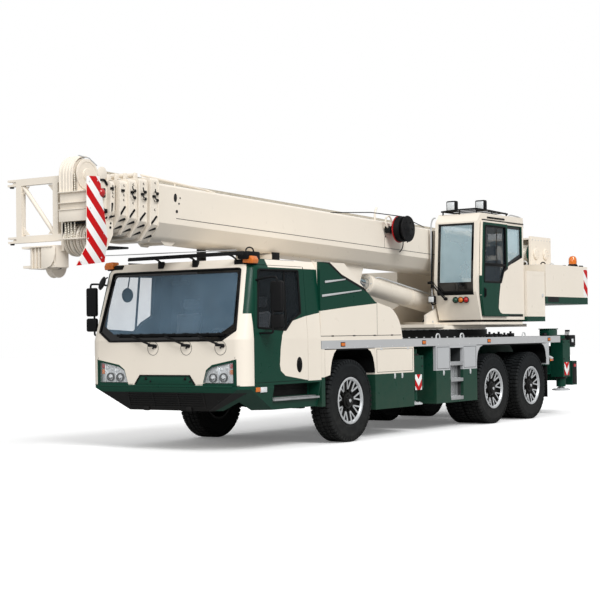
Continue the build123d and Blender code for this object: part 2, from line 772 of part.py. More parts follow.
for number, half, high, low, start, end, collar_end in SECTIONS:
    with BuildPart() as section:
        with BuildSketch(boom_section(start)):
            boom_outline(half, high, low, 30, 110)
        extrude(amount=end - start)
        with BuildSketch(boom_section(end - 70)):
            boom_outline(half + COLLAR, high + COLLAR, low - COLLAR, 40, 130)
        extrude(amount=collar_end - end + 70)
        if number == 1:
            for y in (half + 12, 52 - half):
                with BuildSketch(boom_side(y)):
                    with BuildLine():
                        Polyline((0, LUG_R), (500, high - 45), (640, high - 80))
                        Polyline((640, high - 80), (640, low + 240), (0, -LUG_R))
                        ThreePointArc((0, -LUG_R), (-LUG_R, 0), (0, LUG_R))
                    make_face()
                extrude(amount=64)
            for y in (140, -100):
                with BuildSketch(side(y)):
                    Polygon(
                        (LUFF_EYE_X - 260, 2480),
                        (LUFF_EYE_X - 110, LUFF_EYE_Z - 90),
                        (LUFF_EYE_X + 110, LUFF_EYE_Z - 90),
                        (LUFF_EYE_X + 260, 2480),
                        align=None,
                    )
                extrude(amount=40)
        with BuildSketch(boom_section(start - 10)):
            boom_outline(half - BOOM_WALL, high - BOOM_WALL, low + BOOM_WALL, 20, 100)
        extrude(amount=collar_end - start + 20, mode=Mode.SUBTRACT)
        if number == 1:
            cross_pin(FOOT_X, FOOT_Z, 62, (-half - 20, half + 20), mode=Mode.SUBTRACT)
    save(section.part, f"boom_section_{number}")

with BuildPart() as fly_section:
    with BuildSketch(boom_section(FLY_START)):
        boom_outline(FLY_HALF, FLY_TOP, -FLY_HALF, 30, 110)
    extrude(amount=FLY_END - FLY_START)
    with BuildSketch(boom_section(FLY_START - 10)):
        boom_outline(FLY_HALF - BOOM_WALL, FLY_TOP - BOOM_WALL, BOOM_WALL - FLY_HALF, 20, 100)
    extrude(amount=FLY_END - FLY_START + 20, mode=Mode.SUBTRACT)
save(fly_section.part, "boom_section_5")

# head: ring around the boom's end, two cheek plates, front plates between the sheaves, and the jib's bracket
CHEEK_OUTER = 250
JIB_PIN = (3835, -1082)
JIB_PIN_R = 18
CHEEK_INNER = 210
# the upper sheaves sit between the right cheek and a middle one, and the left cheek ends below them
MIDDLE_CHEEK = (-10, 20)
LEFT_CHEEK_TOP = 3240
SHEAVE_PINS = ((3320, (-230, 10)), (2570, (-230, 230)))
SHEAVES = ((3320, (-160, -62)), (2570, (-150, -50, 50, 150)))
with BuildPart() as boom_head:
    with BuildSketch(boom_section(HEAD_RING[0])):
        boom_outline(305, 255, -305, 40, 130)
    extrude(amount=HEAD_RING[1] - HEAD_RING[0])
    block((3400, 3900), (-CHEEK_INNER, CHEEK_INNER), (2400, 3400), mode=Mode.SUBTRACT)
    with BuildSketch(boom_section(FLY_END)):
        boom_outline(FLY_HALF - 5, FLY_TOP - 5, 5 - FLY_HALF, 30, 110)
    extrude(amount=30)
    for y in (CHEEK_OUTER, -CHEEK_INNER):
        with BuildSketch(side(y)):
            with BuildLine():
                Polyline((3530, 3320), (3530, 3165), (3365, 3165), (3365, 2890), (3530, 2890), (3530, 2620))
                Line((3530, 2620), (3640, 2440))
                Polyline((3640, 2440), (3870, 2440), (3870, 3320))
                ThreePointArc((3870, 3320), (SHEAVE_X - 15, 3490), (3530, 3320))
            make_face()
        extrude(amount=CHEEK_OUTER - CHEEK_INNER)
    block((3500, 3900), (CHEEK_INNER - 5, CHEEK_OUTER + 5), (LEFT_CHEEK_TOP, 3500), mode=Mode.SUBTRACT)
    with BuildSketch(side(MIDDLE_CHEEK[1])):
        with BuildLine():
            Polyline((3870, 3320), (3870, 3108), (3545, 3108), (3545, 3320))
            ThreePointArc((3545, 3320), (SHEAVE_X - 7, 3490), (3870, 3320))
        make_face()
    extrude(amount=MIDDLE_CHEEK[1] - MIDDLE_CHEEK[0])
    for z, ys in SHEAVE_PINS:
        cross_pin(SHEAVE_X, z, 45, ys)
    block((3560, 3870), (-CHEEK_INNER - 5, CHEEK_INNER + 5), (3095, 3120))
    block((3560, 3870), (-CHEEK_INNER - 5, CHEEK_INNER + 5), (2975, 2995))
    block((3845, 3870), (-CHEEK_INNER - 5, CHEEK_INNER + 5), (2770, 2890))
    for zs in ((2560, 2640), (3240, 3320)):
        block((3800, 3870), (-980, -249), zs)
    for ys in ((-380, -300), (-980, -890)):
        block((3800, 3870), ys, (2560, 3320))
    for z in (2560, 2610, 3240, 3295):
        block((3800, 3870), (-1120, -970), (z, z + 25))
    for zs in ((2555, 2640), (3235, 3325)):
        upright(JIB_PIN[0], JIB_PIN[1], JIB_PIN_R, zs, mode=Mode.SUBTRACT)
    block((3750, 3960), (-800, -249), (2480, 2505))
    block((3750, 3960), (-660, -CHEEK_OUTER + 1), (2280, 2480))
    block((3750, 3960), (-780, -CHEEK_OUTER + 1), (2250, 2280))
    with BuildSketch(side(308)):
        Polygon(
            (4030, 3260),
            (3815, 3275),
            (3690, 2580),
            (3745, 2290),
            (NOSE_X, 2235),
            (4040, 2480),
            align=None,
        )
    extrude(amount=8)
    for z in (2620, 3180):
        block((3780, 3840), (CHEEK_OUTER - 1, 301), (z, z + 40))
save(boom_head.part, "boom_head")

with BuildPart() as head_sheaves:
    for z, ys in SHEAVES:
        for y in ys:
            cross_pin(SHEAVE_X, z, SHEAVE_R, (y - 35, y + 35))
        cross_pin(SHEAVE_X, z, 47, (-200, 200), mode=Mode.SUBTRACT)
save(head_sheaves.part, "head_sheaves")

with BuildPart() as cable_reel:
    cross_pin(-2580, 2988, 180, (500, 600))
    cross_pin(-2580, 2988, 60, (361, 510))
save(cable_reel.part, "cable_reel")

# ---------------------------------------------------------------- luffing cylinder
luff_start = Vector(FRONT_AXLE + LUFF_FOOT_X, 0, LUFF_FOOT_Z)
luff_run = Vector(FRONT_AXLE + LUFF_EYE_X, 0, LUFF_EYE_Z) - luff_start
luff_axis = luff_run.normalized()


def luff_plane(along):
    return Plane(origin=luff_start + luff_axis * along, x_dir=(0, 1, 0), z_dir=luff_axis)


BARREL_END = 2550
with BuildPart() as luff_barrel:
    with BuildSketch(luff_plane(150)):
        Circle(145)
    extrude(amount=BARREL_END - 150)
    cross_pin(LUFF_FOOT_X, LUFF_FOOT_Z, 120, (-130, 130))
    with BuildSketch(luff_plane(40)):
        Rectangle(240, 200)
    extrude(amount=130)
    cross_pin(LUFF_FOOT_X, LUFF_FOOT_Z, 52, (-140, 140), mode=Mode.SUBTRACT)
    with BuildSketch(luff_plane(190)):
        Circle(120)
    extrude(amount=BARREL_END - 190 - 60, mode=Mode.SUBTRACT)
    with BuildSketch(luff_plane(BARREL_END - 70)):
        Circle(92)
    extrude(amount=80, mode=Mode.SUBTRACT)
save(luff_barrel.part, "luff_barrel")

with BuildPart() as luff_rod:
    with BuildSketch(luff_plane(220)):
        Circle(115)
    extrude(amount=120)
    with BuildSketch(luff_plane(330)):
        Circle(90)
    extrude(amount=luff_run.length - 330 - 50)
    cross_pin(LUFF_EYE_X, LUFF_EYE_Z, 95, (-88, 88))
save(luff_rod.part, "luff_rod")
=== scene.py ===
import math
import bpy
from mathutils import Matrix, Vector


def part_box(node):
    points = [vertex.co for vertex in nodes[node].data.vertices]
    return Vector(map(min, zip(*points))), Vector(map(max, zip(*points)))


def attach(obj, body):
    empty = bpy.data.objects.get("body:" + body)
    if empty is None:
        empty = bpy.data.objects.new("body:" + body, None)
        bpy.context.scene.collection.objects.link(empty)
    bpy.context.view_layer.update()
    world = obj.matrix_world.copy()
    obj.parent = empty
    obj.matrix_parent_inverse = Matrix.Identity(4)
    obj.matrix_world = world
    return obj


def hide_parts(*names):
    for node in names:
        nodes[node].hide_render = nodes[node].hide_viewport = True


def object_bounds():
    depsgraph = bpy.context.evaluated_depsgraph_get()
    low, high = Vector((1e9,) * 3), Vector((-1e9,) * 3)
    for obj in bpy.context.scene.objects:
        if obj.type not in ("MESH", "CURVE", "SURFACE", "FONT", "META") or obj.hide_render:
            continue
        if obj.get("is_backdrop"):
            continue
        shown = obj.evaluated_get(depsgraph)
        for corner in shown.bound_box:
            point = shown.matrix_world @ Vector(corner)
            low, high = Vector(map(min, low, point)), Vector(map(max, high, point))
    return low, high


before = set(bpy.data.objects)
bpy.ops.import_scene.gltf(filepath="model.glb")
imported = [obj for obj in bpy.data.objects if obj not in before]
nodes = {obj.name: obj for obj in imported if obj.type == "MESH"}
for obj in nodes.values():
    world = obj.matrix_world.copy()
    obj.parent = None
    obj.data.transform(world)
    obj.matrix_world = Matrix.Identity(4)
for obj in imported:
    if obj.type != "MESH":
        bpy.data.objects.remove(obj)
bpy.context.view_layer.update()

from types import SimpleNamespace

import bmesh
import bpy
from mathutils import Matrix, Vector

# ======== camera, floor and studio light
# The crane stands on a pale studio floor. A long lens looks at its left front corner from the height
# of a standing person's chest, and the sky is one even white.
wheel_low, wheel_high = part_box("wheel_front_left")
FRONT_AXLE = (wheel_low.x + wheel_high.x) / 2


def at(x, y, z):
    """A point with x counted from the front axle."""
    return Vector((FRONT_AXLE + x, y, z))


def linear(hex_colour):
    """An sRGB hex colour as linear red, green, blue and alpha."""
    parts = [int(hex_colour[i : i + 2], 16) / 255 for i in (1, 3, 5)]
    return (*[p / 12.92 if p <= 0.04045 else ((p + 0.055) / 1.055) ** 2.4 for p in parts], 1.0)


def add_node(tree, kind, settings):
    """Adds one shader node. Each setting is a property, an input's value, or what is linked to it."""
    node = tree.nodes.new("ShaderNode" + kind)
    for name, value in settings.items():
        if isinstance(value, bpy.types.Node):
            value = value.outputs[0]
        if isinstance(value, bpy.types.NodeSocket):
            tree.links.new(value, node.inputs[name])
        elif name == "stops":
            stops = node.color_ramp.elements
            while len(stops) < len(value):
                stops.new(0.5)
            for stop, (position, colour) in zip(stops, value):
                stop.position, stop.color = position, colour
        elif isinstance(name, str) and hasattr(node, name):
            setattr(node, name, value)
        else:
            node.inputs[name].default_value = value
    return node


def empty_material(name):
    """A material with no nodes yet, and its tree."""
    material = bpy.data.materials.new(name)
    material.use_nodes = True
    material.node_tree.nodes.clear()
    return material, material.node_tree


CAMERA_YAW = math.radians(214.498)
CAMERA_PITCH = math.radians(1.348)
CAMERA_ROLL = math.radians(-0.774)
level = math.cos(CAMERA_PITCH)
forward = Vector((math.cos(CAMERA_YAW) * level, math.sin(CAMERA_YAW) * level, math.sin(CAMERA_PITCH)))
level_right = forward.cross(Vector((0, 0, 1))).normalized()
level_up = level_right.cross(forward)
camera_right = math.cos(CAMERA_ROLL) * level_right + math.sin(CAMERA_ROLL) * level_up
camera_up = math.cos(CAMERA_ROLL) * level_up - math.sin(CAMERA_ROLL) * level_right
camera_data = bpy.data.cameras.new("camera")
camera_data.lens = 86.44
camera_data.sensor_width = 36
camera_data.clip_end = 200
camera = bpy.data.objects.new("camera", camera_data)
bpy.context.scene.collection.objects.link(camera)
turn = Matrix((camera_right, camera_up, -forward)).transposed().to_4x4()
camera.matrix_world = Matrix.Translation(at(16.09, 11.506, 1.437)) @ turn
bpy.context.scene.camera = camera
bpy.context.scene.view_settings.view_transform = "Standard"

# painted studio floor: white to the eye, so that it runs into the sky, and grey as a reflector
floor_material, tree = empty_material("studio_floor")
path = add_node(tree, "LightPath", {})
white_paint = add_node(tree, "BsdfDiffuse", {"Color": linear("#FAFAFA")})
glow = add_node(tree, "Emission", {"Color": (1, 1, 1, 1), "Strength": 0.14})
bright = add_node(tree, "AddShader", {0: white_paint, 1: glow})
grey_paint = add_node(tree, "BsdfDiffuse", {"Color": linear("#A8A8A8")})
both = add_node(tree, "MixShader", {0: path.outputs["Is Camera Ray"], 1: grey_paint, 2: bright})
add_node(tree, "OutputMaterial", {"Surface": both})
bm = bmesh.new()
bmesh.ops.create_grid(bm, x_segments=1, y_segments=1, size=60)
floor_mesh = bpy.data.meshes.new("studio_floor")
bm.to_mesh(floor_mesh)
bm.free()
floor_mesh.materials.append(floor_material)
floor = bpy.data.objects.new("studio_floor", floor_mesh)
bpy.context.scene.collection.objects.link(floor)
floor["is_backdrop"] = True

# even sky: white where the camera, a mirror or glass looks at it, and softer as a light
world = bpy.data.worlds.new("studio_sky")
world.use_nodes = True
tree = world.node_tree
tree.nodes.clear()
path = add_node(tree, "LightPath", {})
rays = {0: path.outputs["Is Camera Ray"], 1: path.outputs["Is Transmission Ray"]}
seen = add_node(tree, "Math", {"operation": "MAXIMUM", **rays})
direction = add_node(tree, "TexCoord", {}).outputs["Generated"]
height = add_node(tree, "SeparateXYZ", {0: direction}).outputs["Z"]
sky = add_node(tree, "ValToRGB", {"stops": ((0, linear("#B4B6B8")), (0.5, linear("#FFFFFF"))), 0: height})
soft = add_node(tree, "Background", {"Strength": 0.66, "Color": sky})
white = add_node(tree, "Background", {"Color": (1, 1, 1, 1), "Strength": 1.0})
mix = add_node(tree, "MixShader", {0: seen, 1: soft, 2: white})
add_node(tree, "OutputWorld", {"Surface": mix})
bpy.context.scene.world = world

# soft suns: name, azimuth and height that they shine from, softness and strength
SUNS = (("key_light", 62, 38, 26, 2.35), ("front_light", 5, 24, 40, 0.8))
for name, azimuth, elevation, softness, strength in SUNS:
    azimuth, elevation = math.radians(azimuth), math.radians(elevation)
    sun = bpy.data.lights.new(name, "SUN")
    sun.energy = strength
    sun.angle = math.radians(softness)
    source = bpy.data.objects.new(name, sun)
    bpy.context.scene.collection.objects.link(source)
    flat = math.cos(elevation)
    towards = Vector((math.cos(azimuth) * flat, math.sin(azimuth) * flat, math.sin(elevation)))
    source.rotation_mode = "QUATERNION"
    source.rotation_quaternion = towards.to_track_quat("Z", "Y")

# ======== chassis frame and running gear
# Welded steel ladder frame, outrigger boxes, springs and shafts, sprayed with chassis enamel. The
# axle casings and knuckles are cast iron under a thin black paint that follows the sand grain.


def object_place(tree):
    """Object coordinates, the same on every piece."""
    return add_node(tree, "TexCoord", {}).outputs["Object"]


def object_axes(place):
    """x from the front axle, distance from the middle, y and z of a place."""
    tree = place.id_data
    axes = add_node(tree, "SeparateXYZ", {0: place}).outputs
    run = add_node(tree, "Math", {"operation": "SUBTRACT", 0: axes["X"], 1: FRONT_AXLE})
    aside = add_node(tree, "Math", {"operation": "ABSOLUTE", 0: axes["Y"]})
    return SimpleNamespace(run=run, aside=aside, y=axes["Y"], z=axes["Z"])


def surface(tree, settings):
    """Ends a tree as one solid surface."""
    shader = add_node(tree, "BsdfPrincipled", settings)
    add_node(tree, "OutputMaterial", {"Surface": shader})


def coat_of(place, base, roughness, clear, grain, grain_depth, dirt, low_dust=1.1):
    """Ends a tree as paint or plastic: gloss that varies, a fine surface grain, and road film."""
    tree = place.id_data
    mottle = add_node(tree, "TexNoise", {"Scale": 9.0, "Detail": 3.0, "Vector": place})
    if dirt:
        # the film is thickest near the road and fades out at the height low_dust
        height = add_node(tree, "SeparateXYZ", {0: place}).outputs["Z"]
        fade = {"From Min": 0.25, "From Max": low_dust, "To Min": dirt, "To Max": dirt * 0.15}
        low = add_node(tree, "MapRange", {**fade, 0: height})
        film = add_node(tree, "Math", {"operation": "MULTIPLY", 0: low, 1: mottle})
        mix = {"data_type": "RGBA", 0: film, 6: base, 7: linear("#6E675B")}
        base = add_node(tree, "Mix", mix).outputs[2]
    spread = {"From Min": 0.3, "From Max": 0.7, "To Min": roughness - 0.05, "To Max": roughness + 0.08}
    gloss = add_node(tree, "MapRange", {**spread, 0: mottle})
    pores = add_node(tree, "TexNoise", {"Scale": grain, "Detail": 2.0, "Vector": place})
    bump = {"Strength": grain_depth, "Distance": 0.002, "Height": pores}
    surface(
        tree,
        {
            "Coat Weight": clear, "Coat Roughness": 0.08, "Specular IOR Level": 0.16, "Base Color": base,
            "Roughness": gloss, "Normal": add_node(tree, "Bump", bump),
        },
    )


def enamel(name, colour, roughness=0.32, clear=0.08, grain=120.0, grain_depth=0.02, dirt=0.06, livery=None):
    """Two-pack enamel sprayed on steel: glossy, a few percent uneven in shade, with fine orange peel.

    livery, where given, takes the axes and returns the colour of each place."""
    material, tree = empty_material(name)
    place = object_place(tree)
    # clouds 0.7 m across, as hand-sprayed panels have
    clouds = add_node(tree, "TexNoise", {"Scale": 1.4, "Detail": 3.0, "Vector": place})
    tone = add_node(tree, "MapRange", {"To Min": 0.96, "To Max": 1.03, 0: clouds})
    base = livery(object_axes(place)) if livery else linear(colour)[:3]
    toned = add_node(tree, "VectorMath", {"operation": "SCALE", 0: base, "Scale": tone})
    coat_of(place, toned, roughness, clear, grain, grain_depth, dirt)
    return material


CREAM = "#E9E0D2"
GREEN = "#083A2C"
GREY = "#B9BABB"
BLACK = "#0A0B0C"
cream_enamel = enamel("cream_coach_enamel", CREAM)
green_enamel = enamel("green_coach_enamel", GREEN)
grey_enamel = enamel("grey_coach_enamel", GREY, roughness=0.36)
black_enamel = enamel("black_chassis_enamel", BLACK, roughness=0.45, clear=0.1)
# sand casting leaves pits of about 1 mm, drawn at 4 mm so that they show
cast_iron = enamel(
    "painted_cast_iron", "#242526", roughness=0.62, clear=0.0, grain=250.0, grain_depth=0.4, dirt=0.35
)


def dress(material, *names):
    """Gives CAD nodes their finish."""
    for name in names:
        mesh = nodes[name].data
        mesh.materials.clear()
        mesh.materials.append(material)


dress(green_enamel, "chassis_frame", "outrigger_boxes")
dress(black_enamel, "leaf_springs", "drive_shafts", "slewing_ring", "wheel_arches")
dress(cast_iron, "axles", "engine", "knuckle_left", "knuckle_right")
for row in ("front", "rear"):
    for hand in ("left", "right"):
        dress(green_enamel, f"outrigger_beam_{row}_{hand}")


def soften(bm, edges, offset, segments=2):
    """Rounds edges."""
    bmesh.ops.bevel(
        bm, geom=list(edges), offset=offset, segments=segments, profile=0.5, affect="EDGES", material=-1,
        clamp_overlap=True,
    )


def rod(bm, start, end, radius, tip=None, sides=16, bevel=0.0):
    """A round bar or cone from start to end."""
    run = end - start
    aim = run.to_track_quat("Z", "Y").to_matrix().to_4x4()
    made = bmesh.ops.create_cone(
        bm, cap_ends=True, segments=sides, radius1=radius, radius2=radius if tip is None else tip,
        depth=run.length, matrix=Matrix.Translation((start + end) / 2) @ aim,
    )["verts"]
    if bevel:
        faces = {face for vert in made for face in vert.link_faces if len(face.verts) > 4}
        soften(bm, {edge for face in faces for edge in face.edges}, bevel)


def bar(bm, x, y, z, radius, where=at, **shape):
    """A rod whose x, y and z are each one number, or a pair for its start and end."""
    ends = [[part[i] if isinstance(part, tuple) else part for part in (x, y, z)] for i in (0, 1)]
    rod(bm, where(*ends[0]), where(*ends[1]), radius, **shape)


def piece(name, bm, body, material, sharp=35):
    """Closes a bmesh into one finished piece that rides on a body."""
    bmesh.ops.remove_doubles(bm, verts=bm.verts, dist=0.00005)
    bmesh.ops.recalc_face_normals(bm, faces=bm.faces)
    mesh = bpy.data.meshes.new(name)
    bm.to_mesh(mesh)
    bm.free()
    mesh.materials.append(material)
    mesh.shade_smooth()
    mesh.set_sharp_from_angle(angle=math.radians(sharp))
    made = bpy.data.objects.new(name, mesh)
    bpy.context.scene.collection.objects.link(made)
    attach(made, body)
    return made


# air tanks and bolts under the frame
bm = bmesh.new()
for x in (-2.9, -3.25):
    bar(bm, x, (-0.33, 0.33), 0.93, 0.125, sides=32, bevel=0.03)
piece("air_tanks", bm, "chassis", black_enamel)
bm = bmesh.new()
for x in (1.6, 1.0, 0.4, -1.0, -1.5, -2.5, -3.1, -5.9, -7.0):
    for y in (-1, 1):
        for z in (0.8, 0.9):
            bar(bm, x, (y * 0.428, y * 0.446), z, 0.016, sides=6, bevel=0.002)
for y in (-1, 1):
    for x in (-0.5, 0.5, -4.38, -5.28):
        for dx in (-0.06, 0.06):
            side = 0.385 if x > -1 else 0.485
            bar(bm, x + dx, y * side, (0.6, 0.8), 0.011, sides=10)
piece("frame_bolts", bm, "chassis", cast_iron)

# ======== wheels
# Radial truck tyres on pressed steel rims. The black rubber has moulded shoulder lugs and sidewall
# rings, and the outer face is a bright wheel trim with forked spokes round a dark hub.
TYRE_R = 0.546
TYRE_HALF = 0.145
BEAD_R = 0.288
WHEEL_FACE = 1.238
TWIN_PITCH = 0.315
LUGS = 54

# carbon-black rubber: dull, with grey-brown dust that lies thickest on the tread
rubber, tree = empty_material("tyre_rubber")
place = object_place(tree)
dust = add_node(tree, "TexNoise", {"Scale": 9.0, "Detail": 7.0, "Roughness": 0.65, "Vector": place})
shade = add_node(
    tree, "ValToRGB", {"stops": ((0.35, linear("#101315")), (0.75, linear("#1E2123"))), 0: dust}
)
coat_of(place, shade, roughness=0.68, clear=0.0, grain=420.0, grain_depth=0.25, dirt=0.1, low_dust=0.9)

# silver wheel lacquer over steel: fine metal flakes under a clear coat
wheel_silver, tree = empty_material("silver_wheel_lacquer")
place = object_place(tree)
flakes = add_node(tree, "TexNoise", {"Scale": 240.0, "Detail": 1.0, "Vector": place})
gloss = add_node(tree, "MapRange", {"To Min": 0.22, "To Max": 0.38, 0: flakes})
cloud = add_node(tree, "TexNoise", {"Scale": 12.0, "Detail": 4.0, "Vector": place})
shade = add_node(tree, "ValToRGB", {"stops": ((0, linear("#B9BCBE")), (1, linear("#E4E6E7"))), 0: cloud})
surface(
    tree,
    {"Metallic": 0.55, "Coat Weight": 0.4, "Coat Roughness": 0.1, "Base Color": shade, "Roughness": gloss},
)

# section of a tyre: radius and distance from its middle, one side, with two raised sidewall rings
TYRE_SIDE = (
    (0.53, 0.088), (0.528, 0.118), (0.51, 0.136), (0.47, 0.1432), (0.466, 0.145), (0.458, 0.145),
    (0.454, 0.144), (0.4, 0.144), (0.36, 0.1415), (0.356, 0.1435), (0.346, 0.1425), (0.342, 0.14),
    (0.315, 0.133), (0.303, 0.129), (BEAD_R, 0.129),
)


def lathe(bm, profile, centre, axis, steps=48):
    """Spins a closed outline of (radius, along the axis) points round an axis."""
    axis = Vector(axis).normalized()
    out = axis.orthogonal().normalized()
    ring = [bm.verts.new(centre + out * radius + axis * along) for radius, along in profile]
    edges = [bm.edges.new((ring[i - 1], ring[i])) for i in range(len(ring))]
    bmesh.ops.spin(
        bm, geom=ring + edges, cent=centre, axis=axis, dvec=(0, 0, 0), angle=math.tau, steps=steps,
        use_merge=True,
    )


def plate(bm, corners, depth, bevel=0.003):
    """A flat plate with the given corners, pushed out by depth, with rounded edges."""
    made = [bm.verts.new(corner) for corner in corners]
    face = bm.faces.new(made)
    grown = bmesh.ops.extrude_face_region(bm, geom=[face])["geom"]
    moved = [item for item in grown if isinstance(item, bmesh.types.BMVert)]
    bmesh.ops.translate(bm, vec=depth, verts=moved)
    if bevel:
        soften(bm, {edge for vert in made + moved for edge in vert.link_edges}, bevel)


# sections of a shoulder lug and of a middle rib, in the same way
SHOULDER_LUG = (
    (0.524, 0.078), (0.546, 0.078), (0.546, 0.124), (0.535, 0.14), (0.498, 0.1445), (0.498, 0.132)
)
MIDDLE_RIB = ((0.524, 0.006), (0.546, 0.01), (0.546, 0.064), (0.524, 0.068))


def turned(bm, outline, x, y, out, steps):
    """Spins (radius, outwards) points round a wheel's axis, outwards counted from y."""
    lathe(bm, [(radius, y + out * along) for radius, along in outline], at(x, 0, TYRE_R), (0, 1, 0), steps)


def tyre(bm, x, middle):
    """One tyre whose middle plane is at y = middle."""
    hub = at(x, 0, TYRE_R)
    left = [(radius, middle + half) for radius, half in TYRE_SIDE]
    right = [(radius, middle - half) for radius, half in reversed(TYRE_SIDE)]
    lathe(bm, left + right, hub, (0, 1, 0), steps=80)
    # shoulder lugs that wrap onto the sidewall, and two rows of staggered ribs between them
    for i in range(LUGS):
        for across in (-1, 1):
            angle = math.tau * (i + (0.25 if across > 0 else -0.25)) / LUGS
            spin = Matrix.Rotation(angle, 3, "Y")
            for lug, half in ((SHOULDER_LUG, 0.021), (MIDDLE_RIB, 0.024)):
                corners = [hub + spin @ Vector((-half, middle + across * a, r)) for r, a in lug]
                plate(bm, corners, spin @ Vector((2 * half, 0, 0)), bevel=0)


def trim(bm, x, y, out):
    """Bright wheel trim: rolled lip, and nine forked spokes that dish in towards the hub."""
    hub = at(x, 0, TYRE_R)
    lip = (
        (0.3, -0.014), (0.31, -0.004), (0.311, 0.003), (0.303, 0.008), (0.284, 0.004), (0.27, -0.02),
        (0.276, -0.024),
    )
    turned(bm, lip, x, y, out, 64)
    for i in range(9):
        for fork in (-1, 1):
            start = math.tau * i / 9 + fork * 0.03
            end = math.tau * i / 9 + fork * 0.185
            low = Vector((math.sin(start) * 0.15, 0, math.cos(start) * 0.15))
            high = Vector((math.sin(end) * 0.29, 0, math.cos(end) * 0.29))
            across = (high - low).cross(Vector((0, 1, 0))).normalized() * 0.009
            base = (
                (low - across, -0.04), (low + across, -0.04), (high + across * 1.4, -0.012),
                (high - across * 1.4, -0.012),
            )
            corners = [hub + spot + Vector((0, y + out * dip, 0)) for spot, dip in base]
            plate(bm, corners, (0, -out * 0.014, 0))


def hub_of(bm, x, y, out):
    """Dark dish behind the spokes with the wheel bolts, and the hub that stands out of it."""
    hub = at(x, 0, TYRE_R)
    dish = (
        (0.002, -0.12), (0.002, -0.075), (0.2, -0.078), (0.278, -0.05), (0.2785, -0.01), (0.2865, -0.01),
        (0.2865, -0.16), (0.262, -0.16), (0.262, -0.12),
    )
    turned(bm, dish, x, y, out, 48)
    boss = (
        (0.002, -0.08), (0.108, -0.08), (0.104, -0.04), (0.08, -0.03), (0.076, -0.012), (0.06, -0.006),
        (0.002, -0.006),
    )
    turned(bm, boss, x, y, out, 40)
    for i in range(10):
        angle = math.tau * (i + 0.5) / 10
        place = hub + Vector((math.sin(angle) * 0.135, 0, math.cos(angle) * 0.135))
        start, end = [place + Vector((0, y + out * d, 0)) for d in (-0.08, -0.045)]
        rod(bm, start, end, 0.016, sides=6, bevel=0.003)


# wheels: name, axle from the front one, tyres side by side
WHEELS = (("front", 0.0, 1), ("second", -4.155, 2), ("third", -5.505, 2))
for name, x, count in WHEELS:
    for hand, out in (("left", 1), ("right", -1)):
        body = f"wheel_{name}_{hand}"
        bm = bmesh.new()
        for i in range(count):
            tyre(bm, x, out * (WHEEL_FACE + 0.002 - TYRE_HALF - i * TWIN_PITCH))
        rubber_piece = piece(f"tyre_{name}_{hand}", bm, body, rubber, sharp=28)
        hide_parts(body)
        bm = bmesh.new()
        trim(bm, x, out * WHEEL_FACE, out)
        piece(f"wheel_trim_{name}_{hand}", bm, body, wheel_silver)
        bm = bmesh.new()
        hub_of(bm, x, out * WHEEL_FACE, out)
        for deep, shallow in ((-0.28, -0.14), (-0.6, -0.3))[:count]:
            well = ((0.2875, deep), (0.2875, shallow), (0.262, shallow), (0.262, deep))
            turned(bm, well, x, out * WHEEL_FACE, out, 48)
        piece(f"wheel_hub_{name}_{hand}", bm, body, black_enamel)
        bm = bmesh.new()
        cap = ((0.002, -0.006), (0.024, -0.006), (0.022, 0.0), (0.014, 0.002), (0.002, 0.002))
        turned(bm, cap, x, out * WHEEL_FACE, out, 32)
        piece(f"hub_cap_{name}_{hand}", bm, body, wheel_silver)

# ======== wheel arch corners
# Pressed steel fillets that round off the tops of the wheel arches, welded flush with the side
# panels and painted with them: cream in front, pale grey at the rear.


def side_view(outline, y):
    """Points of an (x, z) outline."""
    return [at(x, y, z) for x, z in outline]


FRONT_FILLETS = (
    ((0.612, 1.226), (0.34, 1.226), (0.4, 1.176), (0.45, 1.09), (0.48, 0.99), (0.497, 0.9), (0.612, 0.88)),
    ((-0.612, 1.226), (-0.43, 1.226), (-0.51, 1.19), (-0.57, 1.11), (-0.6, 1.02), (-0.612, 0.95)),
)
REAR_FILLETS = (
    ((-3.587, 1.226), (-3.79, 1.226), (-3.69, 1.196), (-3.625, 1.13), (-3.6, 1.06), (-3.587, 0.98)),
    ((-6.073, 1.226), (-5.9, 1.226), (-5.98, 1.196), (-6.035, 1.13), (-6.06, 1.06), (-6.073, 0.98)),
)
for name, outlines, finish, slot in (
    ("front_arch_corners", FRONT_FILLETS, cream_enamel, "cream_paint"),
    ("rear_arch_corners", REAR_FILLETS, grey_enamel, "grey_paint"),
):
    bm = bmesh.new()
    for hand in (-1, 1):
        for outline in outlines:
            plate(bm, side_view(outline, hand * 1.244), (0, hand * 0.0045, 0), bevel=0)
    piece(name, bm, "chassis", finish)

# ======== driver's cab shell
# Pressed steel cab in cream enamel with a green flash sprayed over masking: it covers the door's front
# and the pillars, frames the lamps, and meets the cream in a curve behind the door's window.


def past(value, limit):
    """1 where a value is above a limit."""
    return add_node(value.id_data, "Math", {"operation": "GREATER_THAN", 0: value, 1: limit})


def under(value, limit):
    """1 where a value is below a limit."""
    return add_node(value.id_data, "Math", {"operation": "LESS_THAN", 0: value, 1: limit})


def both_of(result, *masks):
    """1 where every mask is 1."""
    for mask in masks:
        result = add_node(mask.id_data, "Math", {"operation": "MULTIPLY", 0: result, 1: mask})
    return result


def either_of(result, *masks):
    """1 where any mask is 1."""
    for mask in masks:
        result = add_node(mask.id_data, "Math", {"operation": "MAXIMUM", 0: result, 1: mask})
    return result


def outside(mask):
    """1 where the mask is 0."""
    return add_node(mask.id_data, "Math", {"operation": "SUBTRACT", 0: 1.0, 1: mask})


def within(value, low, high):
    """1 where a value lies between two limits."""
    return both_of(past(value, low), under(value, high))


